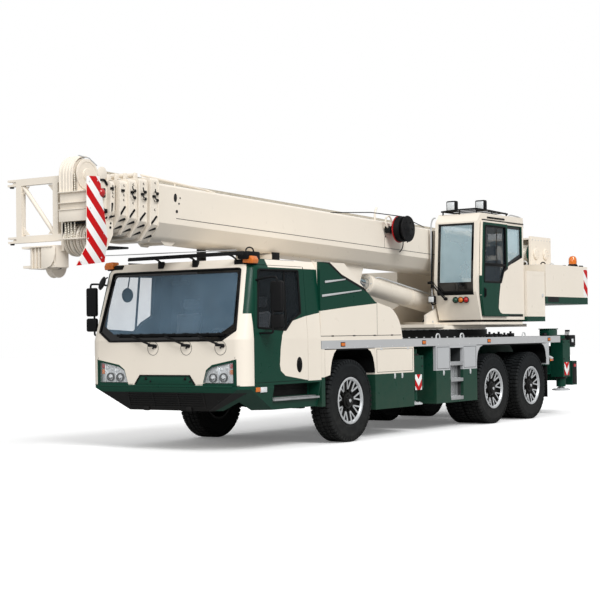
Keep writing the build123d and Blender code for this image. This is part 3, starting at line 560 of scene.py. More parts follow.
def above(run, rise, line):
    """1 where rise is above a broken line of (run, rise) corners, which stays level past its ends."""
    tree = run.id_data
    first, last = line[0][0], line[-1][0]
    low, high = min(z for x, z in line) - 0.001, max(z for x, z in line) + 0.001
    greys = [(z - low) / (high - low) for x, z in line]
    stops = [((x - first) / (last - first), (grey, grey, grey, 1)) for (x, z), grey in zip(line, greys)]
    along = add_node(tree, "MapRange", {"From Min": first, "From Max": last, 0: run})
    ramp = add_node(tree, "ValToRGB", {"stops": stops, 0: along})
    edge = add_node(tree, "MapRange", {"To Min": low, "To Max": high, 0: ramp})
    return past(rise, edge)


def below(run, rise, line):
    """1 where rise is below the broken line."""
    return outside(above(run, rise, line))


def over(mask, base, colour):
    """A colour laid over a base, which is another colour or a socket, where the mask is 1."""
    base = linear(base) if isinstance(base, str) else base
    mix = {"data_type": "RGBA", 0: mask, 6: base, 7: linear(colour)}
    return add_node(mask.id_data, "Mix", mix).outputs[2]


# the curve in the door between green and cream, its lower edge, and the tops of the lamps' green frames
FLASH_TOP = (
    (0.7, 1.705), (1.028, 1.66), (1.346, 1.595), (1.5, 1.51), (1.56, 1.42), (1.598, 1.27), (1.625, 1.0),
    (1.64, 0.8),
)
FLASH_FOOT = ((1.0, 0.845), (1.013, 0.853), (1.5, 0.922), (1.6, 0.985), (1.63, 1.1))
LAMP_FRAME = ((0.58, 0.8), (0.592, 0.823), (0.654, 1.015), (0.744, 1.076), (1.104, 1.142), (1.112, 1.144))


def cab_livery(axes):
    """Green door fronts, pillars and lamp frames on cream, and dark trim inside."""
    run, aside, z = axes.run, axes.aside, axes.z
    side = above(z, aside, ((1.38, 1.165), (2.25, 1.1), (2.36, 1.04)))
    flash = either_of(above(run, z, FLASH_TOP), below(run, z, FLASH_FOOT))
    ahead = both_of(past(run, 2.153), under(z, 1.69))
    fascia = both_of(past(z, 2.262), under(run, 1.756))
    green = both_of(side, flash, outside(ahead), outside(fascia))
    front = past(run, 2.2)
    frames = both_of(front, below(aside, z, LAMP_FRAME), within(aside, 0.588, 1.116))
    panel = below(aside, z, ((0.0, 0.95), (0.386, 0.95), (0.396, 0.941), (0.478, 0.835), (0.49, 0.82)))
    middle = both_of(front, panel, under(aside, 0.478))
    # behind the outer skins and clear of the bevelled front corners
    skins = ((1.38, 1.233), (2.25, 1.173), (2.34, 1.125)), ((1.38, 2.18), (2.25, 1.94), (2.34, 1.89))
    inside = both_of(
        below(z, aside, skins[0]), below(z, run, skins[1]), past(run, 0.72), within(z, 0.835, 2.345)
    )
    painted = over(either_of(green, frames, middle), CREAM, GREEN)
    return over(inside, painted, "#26292C")


def bumper_paint_and_painted_shade(axes):
    """Green bumper with its chin and air intake in black: partly the real black chin, partly painted shade
    on the bumper's lower half.
    """
    return over(both_of(under(axes.z, 0.737), past(axes.run, 2.2)), GREEN, BLACK)


cab_enamel = enamel("cab_two_tone_enamel", CREAM, livery=cab_livery)
dress(cab_enamel, "driver_cab", "driver_door_left", "driver_door_right")
dress(enamel("bumper_two_tone_enamel_and_painted_shade", GREEN, livery=bumper_paint_and_painted_shade), "front_bumper")

# black rubber for window seals: dull, slightly greasy, with a bloom of grey
seal_rubber = enamel(
    "window_seal_rubber", "#0A0B0C", roughness=0.55, clear=0.0, grain=300.0, grain_depth=0.15, dirt=0.05
)
# black polypropylene mouldings with a leather-like grain of about 1 mm, drawn at 4 mm
black_plastic = enamel(
    "black_moulded_plastic", "#0D0E10", roughness=0.5, clear=0.0, grain=260.0, grain_depth=0.2, dirt=0.1
)


def glass(name, colour, alpha, border=None):
    """Tinted safety glass: smooth, a little see-through, with a black fired border where one is given."""
    material, tree = empty_material(name)
    place = object_place(tree)
    ripple = add_node(tree, "TexNoise", {"Scale": 1.2, "Detail": 1.0, "Vector": place})
    gloss = add_node(tree, "MapRange", {"To Min": 0.02, "To Max": 0.06, 0: ripple})
    haze = add_node(tree, "TexNoise", {"Scale": 3.0, "Detail": 3.0, "Vector": place})
    see = add_node(tree, "MapRange", {"To Min": alpha - 0.05, "To Max": alpha + 0.05, 0: haze})
    pale = [part * 1.15 for part in linear(colour)[:3]] + [1]
    shade = add_node(tree, "ValToRGB", {"stops": ((0, linear(colour)), (1, pale)), 0: haze})
    tint, solid = shade, see
    if border:
        frit = border(object_axes(place))
        tint = over(frit, tint, "#0E0F10")
        solid = either_of(solid, frit)
    look = {"IOR": 1.52, "Coat Weight": 0.1, "Coat Roughness": 0.02}
    surface(tree, {**look, "Base Color": tint, "Roughness": gloss, "Alpha": solid})
    return material


def windscreen_border(axes):
    """Fired black band round the windscreen, with cut lower corners."""
    head = ((0.0, 2.195), (0.965, 2.195), (0.985, 2.17), (1.0, 2.0), (1.03, 1.6), (1.04, 1.35))
    foot = ((0.0, 1.462), (0.86, 1.462), (1.0, 1.545), (1.1, 1.62))
    return either_of(above(axes.aside, axes.z, head), below(axes.aside, axes.z, foot))


laminated_glass = glass("laminated_windscreen_glass", "#8DAFC9", 0.15, windscreen_border)
side_glass = glass("toughened_side_glass", "#2A343A", 0.14)
dress(laminated_glass, "windscreen")
dress(side_glass, "door_glass_left", "door_glass_right")


def nose(z):
    """How far ahead of the front axle the cab's front skin stands at a height."""
    if z < 1.38:
        return 2.33 + 0.005 * (z - 0.82) / 0.56
    if z < 2.25:
        return 2.335 - 0.24 * (z - 1.38) / 0.87
    return 2.095 - 0.065 * (z - 2.25) / 0.11


def block(bm, xs, ys, zs, bevel=0.004, segments=2):
    """A box between two x, two y and two z limits, with rounded edges."""
    low, high = at(min(xs), min(ys), min(zs)), at(max(xs), max(ys), max(zs))
    matrix = Matrix.Translation((low + high) / 2) @ Matrix.Diagonal((*(high - low), 1))
    made = bmesh.ops.create_cube(bm, size=1, matrix=matrix)["verts"]
    if bevel:
        soften(bm, {edge for vert in made for edge in vert.link_edges}, bevel, segments)


def around(middle, half):
    """The two limits that lie evenly round a middle."""
    return middle - half, middle + half


def pipe(bm, points, radius, closed=False, order=3):
    """A round tube or wire along a smooth line through its control points."""
    data = bpy.data.curves.new("pipe", "CURVE")
    data.dimensions = "3D"
    data.bevel_depth = radius
    data.bevel_resolution = 3
    data.use_fill_caps = True
    spline = data.splines.new("NURBS")
    spline.points.add(len(points) - 1)
    for point, place in zip(spline.points, points):
        point.co = (*place, 1)
    spline.order_u = order
    spline.use_endpoint_u = not closed
    spline.use_cyclic_u = closed
    spline.resolution_u = 6
    holder = bpy.data.objects.new("pipe", data)
    mesh = bpy.data.meshes.new_from_object(holder)
    bm.from_mesh(mesh)
    bpy.data.objects.remove(holder)
    bpy.data.curves.remove(data)
    bpy.data.meshes.remove(mesh)


def tight_corners(outline, share):
    """Each corner with a point just before and just after it, so that a smooth line bends there."""
    for i, (u, v) in enumerate(outline):
        after = outline[(i + 1) % len(outline)]
        for other, part in ((outline[i - 1], share), (outline[i - 1], 0.0), (after, share)):
            yield u + (other[0] - u) * part, v + (other[1] - v) * part


# rubber seal round the windscreen: y and z of its corners
SCREEN = ((0.9, 1.372), (1.092, 1.492), (1.024, 2.243), (-1.024, 2.243), (-1.092, 1.492), (-0.9, 1.372))
bm = bmesh.new()
line = [at(nose(z) - 0.002, y, z) for y, z in tight_corners(SCREEN, 0.06)]
pipe(bm, line, 0.013, closed=True)
piece("windscreen_seal", bm, "chassis", seal_rubber)

# wipers: three arms with their pivots low on the front skin, blades parked along the screen's foot
WIPERS = (-0.137, 0.394, 0.924)
bm = bmesh.new()
for y in WIPERS:
    pivot = at(nose(1.307) + 0.006, y, 1.307)
    rod(bm, pivot - Vector((0.02, 0, 0)), pivot + Vector((0.034, 0, 0)), 0.026, 0.02, bevel=0.004)
    elbow = at(nose(1.355) + 0.05, y - 0.12, 1.352)
    knee = at(nose(1.43) + 0.04, y - 0.36, 1.43)
    pipe(bm, [pivot + Vector((0.03, 0, 0)), elbow, elbow, knee], 0.013)
    block(bm, (nose(1.33) + 0.024, nose(1.33) + 0.046), (y - 0.095, y + 0.012), (1.3, 1.334), 0.008)
    for z, thick in ((1.452, 0.012), (1.437, 0.006)):
        start = at(nose(z) + 0.012, y - 0.64, z)
        end = at(nose(z) + 0.012, y + 0.01, z - 0.006)
        rod(bm, start, end, thick, sides=8)
    for share in (0.12, 0.38, 0.62, 0.88):
        y_clip = y - 0.64 + 0.65 * share
        block(bm, (nose(1.45) + 0.006, nose(1.45) + 0.03), around(y_clip, 0.012), (1.436, 1.468), 0.003)
piece("windscreen_wipers", bm, "chassis", black_plastic)
bm = bmesh.new()
for y in WIPERS:
    for inner, outer in ((0.084, 0.088), (0.0, 0.012)):
        ring = ((max(inner, 0.001), 0.0), (outer, 0.0), (outer, 0.003), (max(inner, 0.001), 0.003))
        lathe(bm, ring, at(nose(1.27), y - 0.042, 1.282), (1, 0, 0), steps=40)
piece("wiper_covers", bm, "chassis", cast_iron)

# panel seams of the front, 5 mm grooves drawn as dark rubber strips: y and z of each end
SEAMS = (
    ((1.076, 0.85), (1.076, 1.105)), ((1.094, 1.15), (1.094, 1.49)), ((0.515, 0.834), (0.59, 0.834)),
    ((1.116, 0.826), (1.16, 0.826)),
)
bm = bmesh.new()
for (y0, z0), (y1, z1) in SEAMS:
    for hand in (-1, 1):
        start, end = at(nose(z0) - 0.001, hand * y0, z0), at(nose(z1) - 0.001, hand * y1, z1)
        rod(bm, start, end, 0.0028, sides=6)
piece("front_seams", bm, "chassis", seal_rubber)

# ---- headlamps: a bright tray with two round lamps, a red and amber reflector at its top outer
# corner, and a clear polycarbonate cover flush with the cab's skin
LAMP = ((0.606, 0.856), (0.664, 0.998), (0.747, 1.047), (1.06, 1.106), (1.06, 0.854))
LAMP_ROUNDS = ((0.745, 0.918), (0.905, 0.922))
RED_OUTLINE = ((1.01, 1.03), (1.052, 1.034), (1.052, 1.092), (1.01, 1.086))
AMBER_OUTLINE = ((1.008, 0.96), (1.052, 0.96), (1.052, 1.02), (1.008, 1.018))

# vacuum-plated reflector: mirror-like aluminium with fine vertical flutes 9 mm apart
reflector, tree = empty_material("plated_lamp_reflector")
place = object_place(tree)
flutes = add_node(
    tree, "TexWave", {"Scale": 17.0, "Distortion": 0.4, "bands_direction": "Y", "Vector": place}
).outputs["Fac"]
bump = add_node(tree, "Bump", {"Strength": 0.2, "Distance": 0.003, "Height": flutes})
shade = add_node(tree, "ValToRGB", {"stops": ((0, linear("#DCE0E3")), (1, linear("#FBFCFD"))), 0: flutes})
surface(tree, {"Metallic": 0.5, "Roughness": 0.2, "Base Color": shade, "Normal": bump})


def lens_plastic(name, colour, alpha=1.0, roughness=0.12):
    """Moulded lamp lens: glossy tinted acrylic with ribs about 7 mm apart inside."""
    material, tree = empty_material(name)
    place = object_place(tree)
    ribs = add_node(tree, "TexVoronoi", {"Scale": 110.0, "Vector": place})
    bump = add_node(tree, "Bump", {"Strength": 0.25, "Distance": 0.003, "Height": ribs})
    deep = [part * 0.6 for part in linear(colour)[:3]] + [1]
    shade = add_node(tree, "ValToRGB", {"stops": ((0, linear(colour)), (1, deep)), 0: ribs})
    gloss = add_node(tree, "MapRange", {"To Min": roughness, "To Max": roughness + 0.08, 0: ribs})
    look = {"IOR": 1.49, "Alpha": alpha, "Coat Weight": 0.6, "Coat Roughness": 0.03}
    surface(tree, {**look, "Base Color": shade, "Roughness": gloss, "Normal": bump})
    return material


def front_view(outline, x, hand=1):
    """Points of a (y, z) outline, mirrored where hand is -1."""
    return [at(x, hand * y, z) for y, z in outline]


clear_cover = lens_plastic("clear_polycarbonate_cover", "#E9EEF0", alpha=0.09, roughness=0.04)
amber_lens = lens_plastic("amber_acrylic_lens", "#E8791A")
red_lens = lens_plastic("red_acrylic_lens", "#C41419")
green_lens = lens_plastic("green_acrylic_lens", "#1C4F3C")
bright_lens = lens_plastic("pressed_glass_lens", "#F2F6F8", roughness=0.05)

trays, rings, lenses, covers, ambers, reds = [bmesh.new() for i in range(6)]
for hand in (-1, 1):
    corners = front_view(LAMP, 2.292, hand)
    plate(trays, corners, (0.006, 0, 0), bevel=0.002)
    # inner steps of the tray, each a thin shelf between the lamps
    for y, z_low, z_high in ((0.825, 0.862, 1.055), (0.99, 0.862, 1.085)):
        block(trays, (2.296, 2.32), (hand * (y - 0.006), hand * (y + 0.006)), (z_low, z_high), 0.002)
    for y, z in LAMP_ROUNDS:
        centre = at(0, hand * y, z)
        bowl = (
            (0.044, 2.298), (0.045, 2.318), (0.047, 2.327), (0.054, 2.327), (0.056, 2.3), (0.044, 2.292)
        )
        lathe(rings, bowl, centre, (1, 0, 0), steps=40)
        dome = (
            (0.001, 2.298), (0.043, 2.298), (0.043, 2.308), (0.032, 2.317), (0.014, 2.321), (0.001, 2.322)
        )
        lathe(lenses, dome, centre, (1, 0, 0), steps=32)
        # bulb shield: a dark crescent in the lower half of each lamp
        turns = [math.pi * (1.05 + 0.09 * k) for k in range(11)]
        crescent = [Vector((2.321, 0.03 * math.cos(a), 0.03 * math.sin(a))) for a in turns]
        crescent += [Vector((2.321, 0.02 * math.cos(a), 0.016 * math.sin(a))) for a in turns[::-1]]
        plate(rings, [centre + spot for spot in crescent], (0.004, 0, 0), bevel=0)
    for y, z, radius in ((0.8, 1.01, 0.02), (0.88, 1.025, 0.017), (0.96, 1.04, 0.018)):
        small = ((0.001, 2.298), (radius, 2.298), (radius, 2.31), (radius * 0.6, 2.316), (0.001, 2.318))
        lathe(lenses, small, at(0, hand * y, z), (1, 0, 0), steps=24)
    for lens, outline in ((reds, RED_OUTLINE), (ambers, AMBER_OUTLINE)):
        plate(lens, front_view(outline, 2.299, hand), (0.014, 0, 0))
    plate(covers, front_view(LAMP, 2.3285, hand), (0.0035, 0, 0), bevel=0.001)
tray_piece = piece("headlamp_trays", trays, "chassis", reflector)
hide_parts("headlights")
piece("headlamp_rings", rings, "chassis", black_plastic)
piece("headlamp_lenses", lenses, "chassis", bright_lens)
piece("headlamp_covers", covers, "chassis", clear_cover)
# ---- corner lamps: amber lenses on black feet, on the roof's corners and along the flanks
FLANK_MARKERS = (0.184, -1.961, -3.995, -6.19)
ROOF_FOOT = ((0.9, 2.288), (1.165, 2.288), (1.165, 2.312), (1.02, 2.352), (0.9, 2.352))
ROOF_LENS = ((1.045, 2.31), (1.19, 2.298), (1.2, 2.345), (1.172, 2.392), (1.055, 2.4))
feet = bmesh.new()
whites = bmesh.new()
for hand in (-1, 1):
    plate(feet, front_view(ROOF_FOOT, 2.07, hand), (-0.13, 0, 0), bevel=0.008)
    plate(ambers, front_view(ROOF_LENS, 2.094, hand), (-0.13, 0, 0), bevel=0.01)
    for x in FLANK_MARKERS:
        block(ambers, around(x, 0.045), (hand * 1.248, hand * 1.262), (1.27, 1.312), 0.005)
        block(feet, around(x, 0.056), (hand * 1.246, hand * 1.253), (1.26, 1.322))
    block(ambers, (2.035, 2.125), (hand * 1.236, hand * 1.256), (0.745, 0.8), 0.006)
    block(whites, (1.9, 2.03), (hand * 1.238, hand * 1.256), (0.735, 0.8), 0.006)
piece("amber_lamps", ambers, "chassis", amber_lens)
piece("red_reflectors", reds, "chassis", red_lens)
piece("white_side_lamps", whites, "chassis", bright_lens)
piece("lamp_feet", feet, "chassis", black_plastic)

# ---- service panel between the lamps: a green steel tray with a black lip and two washer jets,
# and the dark air intake under it
bm = bmesh.new()
outline = ((-0.492, 0.832), (-0.402, 0.952), (0.402, 0.952), (0.492, 0.832))
inner = ((-0.47, 0.832), (-0.39, 0.937), (0.39, 0.937), (0.47, 0.832))
for i in range(3):
    corners = [at(nose(0.9) - 0.002, *p) for p in (outline[i], outline[i + 1], inner[i + 1], inner[i])]
    plate(bm, corners, (0.01, 0, 0), bevel=0.002)
piece("service_panel_lip", bm, "chassis", black_plastic)
bm = bmesh.new()
outline = ((-0.45, 0.838), (-0.375, 0.922), (0.375, 0.922), (0.45, 0.838))
plate(bm, front_view(outline, nose(0.9) - 0.003), (0.006, 0, 0), bevel=0.004)
block(bm, (2.338, 2.352), (-1.06, 1.06), (0.8, 0.826), 0.006)
piece("service_panel", bm, "chassis", green_enamel)
bm = bmesh.new()
for y in (-0.3, 0.33):
    bar(bm, (nose(0.9), nose(0.9) + 0.016), y, 0.905, 0.02, tip=0.015, bevel=0.003)
    bar(bm, (nose(0.9), nose(0.9) + 0.012), y + 0.075, 0.872, 0.012, bevel=0.003)
piece("washer_jets", bm, "chassis", black_plastic)
bm = bmesh.new()
for i in range(7):
    z = 0.56 + 0.028 * i
    x = 2.262 + (z - 0.51) * 0.315
    block(bm, (x - 0.006, x + 0.01), (-0.6, 0.6), around(z, 0.005), 0.002)
for y in (-0.6, -0.2, 0.2, 0.6):
    bar(bm, (2.275, 2.335), y, (0.55, 0.735), 0.01, sides=8)
for hand in (-1, 1):
    # tow eyes and the step pads low in the bumper
    block(bm, (2.255, 2.29), (hand * 0.3, hand * 0.38), (0.505, 0.56), 0.008)
piece("bumper_grille", bm, "chassis", black_plastic)

# ---- roof: black sun visor bar on two brackets, a thin grey stay above it, black blocks on the
# fascia, and a black hatch box with a grab handle over the left door
bm = bmesh.new()
visor = [at(2.31, -0.605, 2.382), at(2.31, 1.212, 2.392), at(2.3, 1.212, 2.44), at(2.3, -0.605, 2.428)]
plate(bm, visor, (-0.03, 0, 0), bevel=0.006)
for y in (-0.255, 0.3, 0.93):
    pipe(bm, side_view(((2.29, 2.41), (2.2, 2.41), (2.1, 2.38), (2.06, 2.35)), y), 0.012)
for y in (-0.255, 0.3):
    block(bm, (2.04, 2.085), around(y, 0.042), (2.285, 2.372), 0.006)
block(bm, (1.86, 2.12), (0.985, 1.15), (2.352, 2.448), 0.018)
pipe(bm, side_view(((1.9, 2.44), (1.9, 2.5), (2.06, 2.5), (2.06, 2.44)), 1.075), 0.009)
block(bm, (0.95, 1.45), (-0.35, 0.35), (2.352, 2.385), 0.012)
for y in (-0.9, 0.9):
    bar(bm, (0.8, 1.95), y, 2.375, 0.01)
piece("roof_fittings", bm, "chassis", black_plastic)
bm = bmesh.new()
pipe(bm, [at(2.28, 1.1, 2.452), at(2.28, 0.2, 2.463), at(2.28, -0.8, 2.47), at(2.28, -1.32, 2.478)], 0.006)
piece("roof_stay", bm, "chassis", grey_enamel)

# ======== doors, mirrors and steps
# Each door has a seal round its glass, a sunken oval handle and a grab bar; its mirrors are black
# housings with rounded backs on a bent steel tube. An aluminium edge protects the entry step.
DOOR_WINDOW = ((2.06, 1.52), (1.975, 2.225), (1.13, 2.235), (1.13, 1.7), (1.33, 1.61), (1.48, 1.49))


def flank(z):
    """How far from the middle the cab's side skin stands at a height."""
    return 1.25 if z < 1.38 else 1.25 - 0.06 * (z - 1.38) / 0.87


def circle(count, middle, across, up=None):
    """Points of a circle or an ellipse round a middle."""
    turns = [math.tau * k / count for k in range(count)]
    up = across if up is None else up
    return [(middle[0] + across * math.cos(a), middle[1] + up * math.sin(a)) for a in turns]


# anodised aluminium tread: fine ribs 12 mm apart, satin
aluminium, tree = empty_material("ribbed_anodised_aluminium")
place = object_place(tree)
ribs = add_node(
    tree, "TexWave", {"Scale": 26.0, "Distortion": 0.0, "bands_direction": "Y", "Vector": place}
).outputs["Fac"]
wear = add_node(tree, "TexNoise", {"Scale": 14.0, "Detail": 6.0, "Vector": place})
gloss = add_node(tree, "MapRange", {"To Min": 0.28, "To Max": 0.5, 0: wear})
bump = add_node(tree, "Bump", {"Strength": 0.6, "Distance": 0.003, "Height": ribs})
shade = add_node(tree, "ValToRGB", {"stops": ((0, linear("#A7A9AA")), (1, linear("#D9DADB"))), 0: wear})
surface(tree, {"Metallic": 0.75, "Base Color": shade, "Roughness": gloss, "Normal": bump})

# back-silvered mirror glass
mirror_glass, tree = empty_material("silvered_mirror_glass")
place = object_place(tree)
haze = add_node(tree, "TexNoise", {"Scale": 20.0, "Detail": 3.0, "Vector": place})
gloss = add_node(tree, "MapRange", {"To Min": 0.02, "To Max": 0.07, 0: haze})
shade = add_node(tree, "ValToRGB", {"stops": ((0, linear("#BFC6CB")), (1, linear("#E4E8EA"))), 0: haze})
surface(tree, {"Metallic": 1.0, "Base Color": shade, "Roughness": gloss})

for hand, out in (("left", 1), ("right", -1)):
    body = f"{hand}_door"
    bm = bmesh.new()
    line = [at(x, out * (flank(z) - 0.001), z) for x, z in tight_corners(DOOR_WINDOW, 0.07)]
    pipe(bm, line, 0.014, closed=True)
    sash = (out * (flank(1.5) - 0.012), out * (flank(2.23) - 0.012))
    bar(bm, (1.452, 1.42), sash, (1.51, 2.228), 0.015, sides=8)
    # grab bar at the window's front foot, and the door handle's sunken cup with its pull
    grip = ((2.03, 1.245), (2.03, 1.295), (1.83, 1.297), (1.83, 1.245))
    pipe(bm, [at(x, out * y, 1.452) for x, y in grip], 0.011)
    cup = side_view(circle(24, (1.197, 1.052), 0.06, 0.098), out * 1.2495)
    plate(bm, cup, (0, out * 0.004, 0), bevel=0.001)
    pipe(bm, front_view(((1.252, 0.985), (1.272, 1.0), (1.274, 1.09), (1.252, 1.105)), 1.205, out), 0.009)
    piece(f"door_seals_{hand}", bm, body, seal_rubber)
    bm = bmesh.new()
    for (x0, z0), (x1, z1) in (
        ((1.006, 0.856), (1.006, 2.284)), ((2.139, 0.856), (2.139, 1.38)), ((1.006, 0.853), (2.139, 0.853))
    ):
        bar(bm, (x0, x1), (out * (flank(z0) - 0.003), out * (flank(z1) - 0.003)), (z0, z1), 0.004, sides=6)
    piece(f"door_edge_seal_{hand}", bm, body, seal_rubber)
    # mirrors
    bm = bmesh.new()
    arm = (
        (1.195, 2.098), (1.3, 2.118), (1.46, 2.128), (1.505, 2.12), (1.505, 2.04), (1.46, 1.9), (1.44, 1.7),
        (1.44, 1.5), (1.44, 1.452), (1.36, 1.452), (1.235, 1.452),
    )
    pipe(bm, front_view(arm, 2.022, out), 0.013)
    for zs in ((1.702, 2.078), (1.502, 1.678)):
        block(bm, (1.978, 2.034), (out * 1.402, out * 1.588), zs, 0.027, segments=5)
    for z in (1.75, 2.02):
        bar(bm, (2.022, 2.01), (out * 1.43, out * 1.5), z, 0.012)
    shell = piece(f"mirror_housings_{hand}", bm, body, black_plastic)
    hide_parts(f"mirror_{hand}")
    bm = bmesh.new()
    for z_low, z_high in ((1.722, 2.058), (1.52, 1.66)):
        block(bm, (1.9765, 1.98), (out * 1.42, out * 1.57), (z_low, z_high), 0.001)
    piece(f"mirror_glass_{hand}", bm, body, mirror_glass)
    # entry step's edge, tread and the rubber kick board behind it
    bm = bmesh.new()
    block(bm, (0.752, 1.745), (out * 1.215, out * 1.253), (0.618, 0.645), 0.006)
    block(bm, (0.775, 1.7), (out * 1.085, out * 1.213), (0.645, 0.655), 0.003)
    piece(f"entry_step_{hand}", bm, "chassis", aluminium)
    bm = bmesh.new()
    block(bm, (0.79, 1.7), (out * 1.078, out * 1.083), (0.665, 0.815), 0.002)
    block(bm, (0.79, 1.7), (out * 1.078, out * 1.089), (0.733, 0.745), 0.003)
    block(bm, (0.748, 1.742), (out * 1.205, out * 1.2495), (0.828, 0.85), 0.006)
    piece(f"kick_board_{hand}", bm, "chassis", seal_rubber)

# flat kerb mirror on a short arm at the cab's right front corner
bm = bmesh.new()
face = [at(2.165 + 0.0425 * u, -1.16 + 0.1 * u, 2.115 + 0.055 * (u + v)) for u, v in circle(20, (0, 0), 1)]
plate(bm, face, (0.02, 0, 0.02), bevel=0.004)
pipe(bm, [at(2.1, -1.13, 2.2), at(2.15, -1.14, 2.19), at(2.17, -1.15, 2.13)], 0.009)
piece("kerb_mirror", bm, "chassis", black_plastic)

# ======== driver's cab inside
# Grained plastic dashboard with a hooded instrument row, a rubber-rimmed steering wheel, and two
# foam seats in woven cloth with piped seams, each on a rubber bellows.


def weave(name, colour, thread=0.006):
    """Woven seat cloth: threads crossing at the given pitch, with flecks and rubbed places."""
    material, tree = empty_material(name)
    place = object_place(tree)
    pitch = 1.0 / (thread * 2)
    warp = add_node(
        tree, "TexWave", {"Scale": pitch / 3.14, "bands_direction": "Y", "Vector": place}
    ).outputs["Fac"]
    weft = add_node(
        tree, "TexWave", {"Scale": pitch / 3.14, "bands_direction": "X", "Vector": place}
    ).outputs["Fac"]
    cross = either_of(warp, weft)
    fleck = add_node(tree, "TexNoise", {"Scale": 90.0, "Detail": 4.0, "Vector": place})
    blend = both_of(cross, fleck)
    deep = [part * 0.55 for part in linear(colour)[:3]] + [1]
    shade = add_node(tree, "ValToRGB", {"stops": ((0, deep), (0.6, linear(colour))), 0: blend})
    rough = add_node(tree, "MapRange", {"To Min": 0.8, "To Max": 0.95, 0: fleck})
    bump = add_node(tree, "Bump", {"Strength": 0.5, "Distance": 0.002, "Height": cross})
    look = {"Sheen Weight": 0.3, "Sheen Roughness": 0.5}
    surface(tree, {**look, "Base Color": shade, "Roughness": rough, "Normal": bump})
    return material


seat_cloth = weave("grey_woven_seat_cloth", "#4B5056")
dash_plastic = enamel(
    "grey_dashboard_plastic", "#33363A", roughness=0.6, clear=0.0, grain=220.0, grain_depth=0.25, dirt=0.0
)
dress(dash_plastic, "dashboard")


# how far a pad's faces may crown
PAD_SWELL = 0.026


def pad(name, body, xs, ys, zs, lean=0.0):
    """A foam pad in sewn cloth: a rounded block, blown up so that its faces crown between the seams."""
    bm = bmesh.new()
    tucked = [(low + tuck, high - tuck) for (low, high), tuck in ((xs, 0.015), (ys, 0.015), (zs, 0.012))]
    block(bm, *tucked, 0.035)
    pivot = at(min(xs), (ys[0] + ys[1]) / 2, min(zs))
    bmesh.ops.rotate(bm, cent=pivot, matrix=Matrix.Rotation(lean, 3, "Y"), verts=bm.verts)
    made = piece(name, bm, body, seat_cloth)
    remesh = made.modifiers.new("remesh", "REMESH")
    remesh.mode = "VOXEL"
    remesh.voxel_size = 0.014
    graph = bpy.context.evaluated_depsgraph_get()
    fine = bpy.data.meshes.new_from_object(made.evaluated_get(graph))
    made.modifiers.clear()
    made.data = fine
    flat = [vert.co.copy() for vert in fine.vertices]
    cloth = made.modifiers.new("cloth", "CLOTH")
    cloth.settings.use_pressure = True
    cloth.settings.uniform_pressure_force = 4
    cloth.settings.effector_weights.gravity = 0
    for frame_number in range(1, 21):
        bpy.context.scene.frame_set(frame_number)
    graph = bpy.context.evaluated_depsgraph_get()
    blown = bpy.data.meshes.new_from_object(made.evaluated_get(graph))
    made.modifiers.clear()
    for vert, start, moved in zip(fine.vertices, flat, blown.vertices):
        push = moved.co - start
        vert.co = start + push * min(1.0, PAD_SWELL / max(push.length, 0.000001))
    bpy.data.meshes.remove(blown)
    fine.shade_smooth()
    bpy.context.scene.frame_set(1)
    smooth = made.modifiers.new("smooth", "SUBSURF")
    smooth.levels = 1
    smooth.render_levels = 1
    return made


def bellows(bm, xs, ys, z, folds, step):
    """A stack of blocks 30 mm thick, every second one drawn in."""
    for level in range(folds):
        inset = step * (level % 2)
        low = z + 0.036 * level
        block(bm, (xs[0] + inset, xs[1] - inset), (ys[0] + inset, ys[1] - inset), (low, low + 0.03), 0.01)


bases = bmesh.new()
piping = bmesh.new()
belts = bmesh.new()
for y, side_name in ((0.56, "left"), (-0.56, "right")):
    pad(f"crew_cushion_{side_name}", "chassis", (1.12, 1.6), around(y, 0.24), (1.09, 1.22))
    pad(f"crew_back_{side_name}", "chassis", (1.13, 1.25), around(y, 0.23), (1.22, 1.76), lean=-0.12)
    rest = (1.055, 1.145), around(y, 0.14), (1.77, 1.93)
    pad(f"crew_headrest_{side_name}", "chassis", *rest, lean=-0.1)
    bellows(bases, (1.18, 1.48), around(y, 0.15), 0.88, folds=6, step=0.012)
    corners = [at(1.36 + 0.21 * u, y + 0.21 * v, 1.225) for u, v in ((-1, -1), (1, -1), (1, 1), (-1, 1))]
    pipe(piping, corners, 0.004, closed=True)
    block(belts, (1.0, 1.05), (y - 0.25, y - 0.2), (1.2, 1.9))
base_piece = piece("crew_seat_bellows", bases, "chassis", seal_rubber)
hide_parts("cab_seats")
piece("crew_seat_piping", piping, "chassis", seal_rubber)
piece("crew_seat_belts", belts, "chassis", black_plastic)
bm = bmesh.new()
block(bm, (1.88, 2.02), (0.36, 0.78), (1.325, 1.372), 0.015)
for y in (-0.42, -0.22, -0.02, 0.18):
    block(bm, (1.875, 1.9), around(y, 0.075), (1.2, 1.29), 0.01)
for y in (0.44, 0.57, 0.7):
    dial = ((0.001, 0.0), (0.05, 0.0), (0.055, 0.006), (0.058, 0.0), (0.058, -0.01), (0.001, -0.01))
    lathe(bm, dial, at(1.878, y, 1.335), (-0.8, 0, 0.6), steps=28)
bar(bm, (1.5, 1.58), (0.2, 0.16), (0.87, 1.2), 0.011)
bar(bm, (1.575, 1.592), (0.162, 0.155), (1.18, 1.25), 0.022, bevel=0.008)
# mirrors inside the screen: a flat one in the middle, and a round kerb mirror on the far side
block(bm, (1.985, 2.01), (-0.14, 0.14), (2.06, 2.125), 0.012)
bar(bm, (1.995, 1.99), 0, (2.12, 2.2), 0.008)
bowl = ((0.002, -0.02), (0.07, -0.016), (0.092, -0.004), (0.094, 0.006), (0.002, 0.006))
lathe(bm, bowl, at(2.035, -0.85, 1.965), (1, 0, 0), steps=28)
bar(bm, (2.03, 1.99), -0.85, (2.05, 2.2), 0.008)
piece("dashboard_fittings", bm, "chassis", black_plastic)

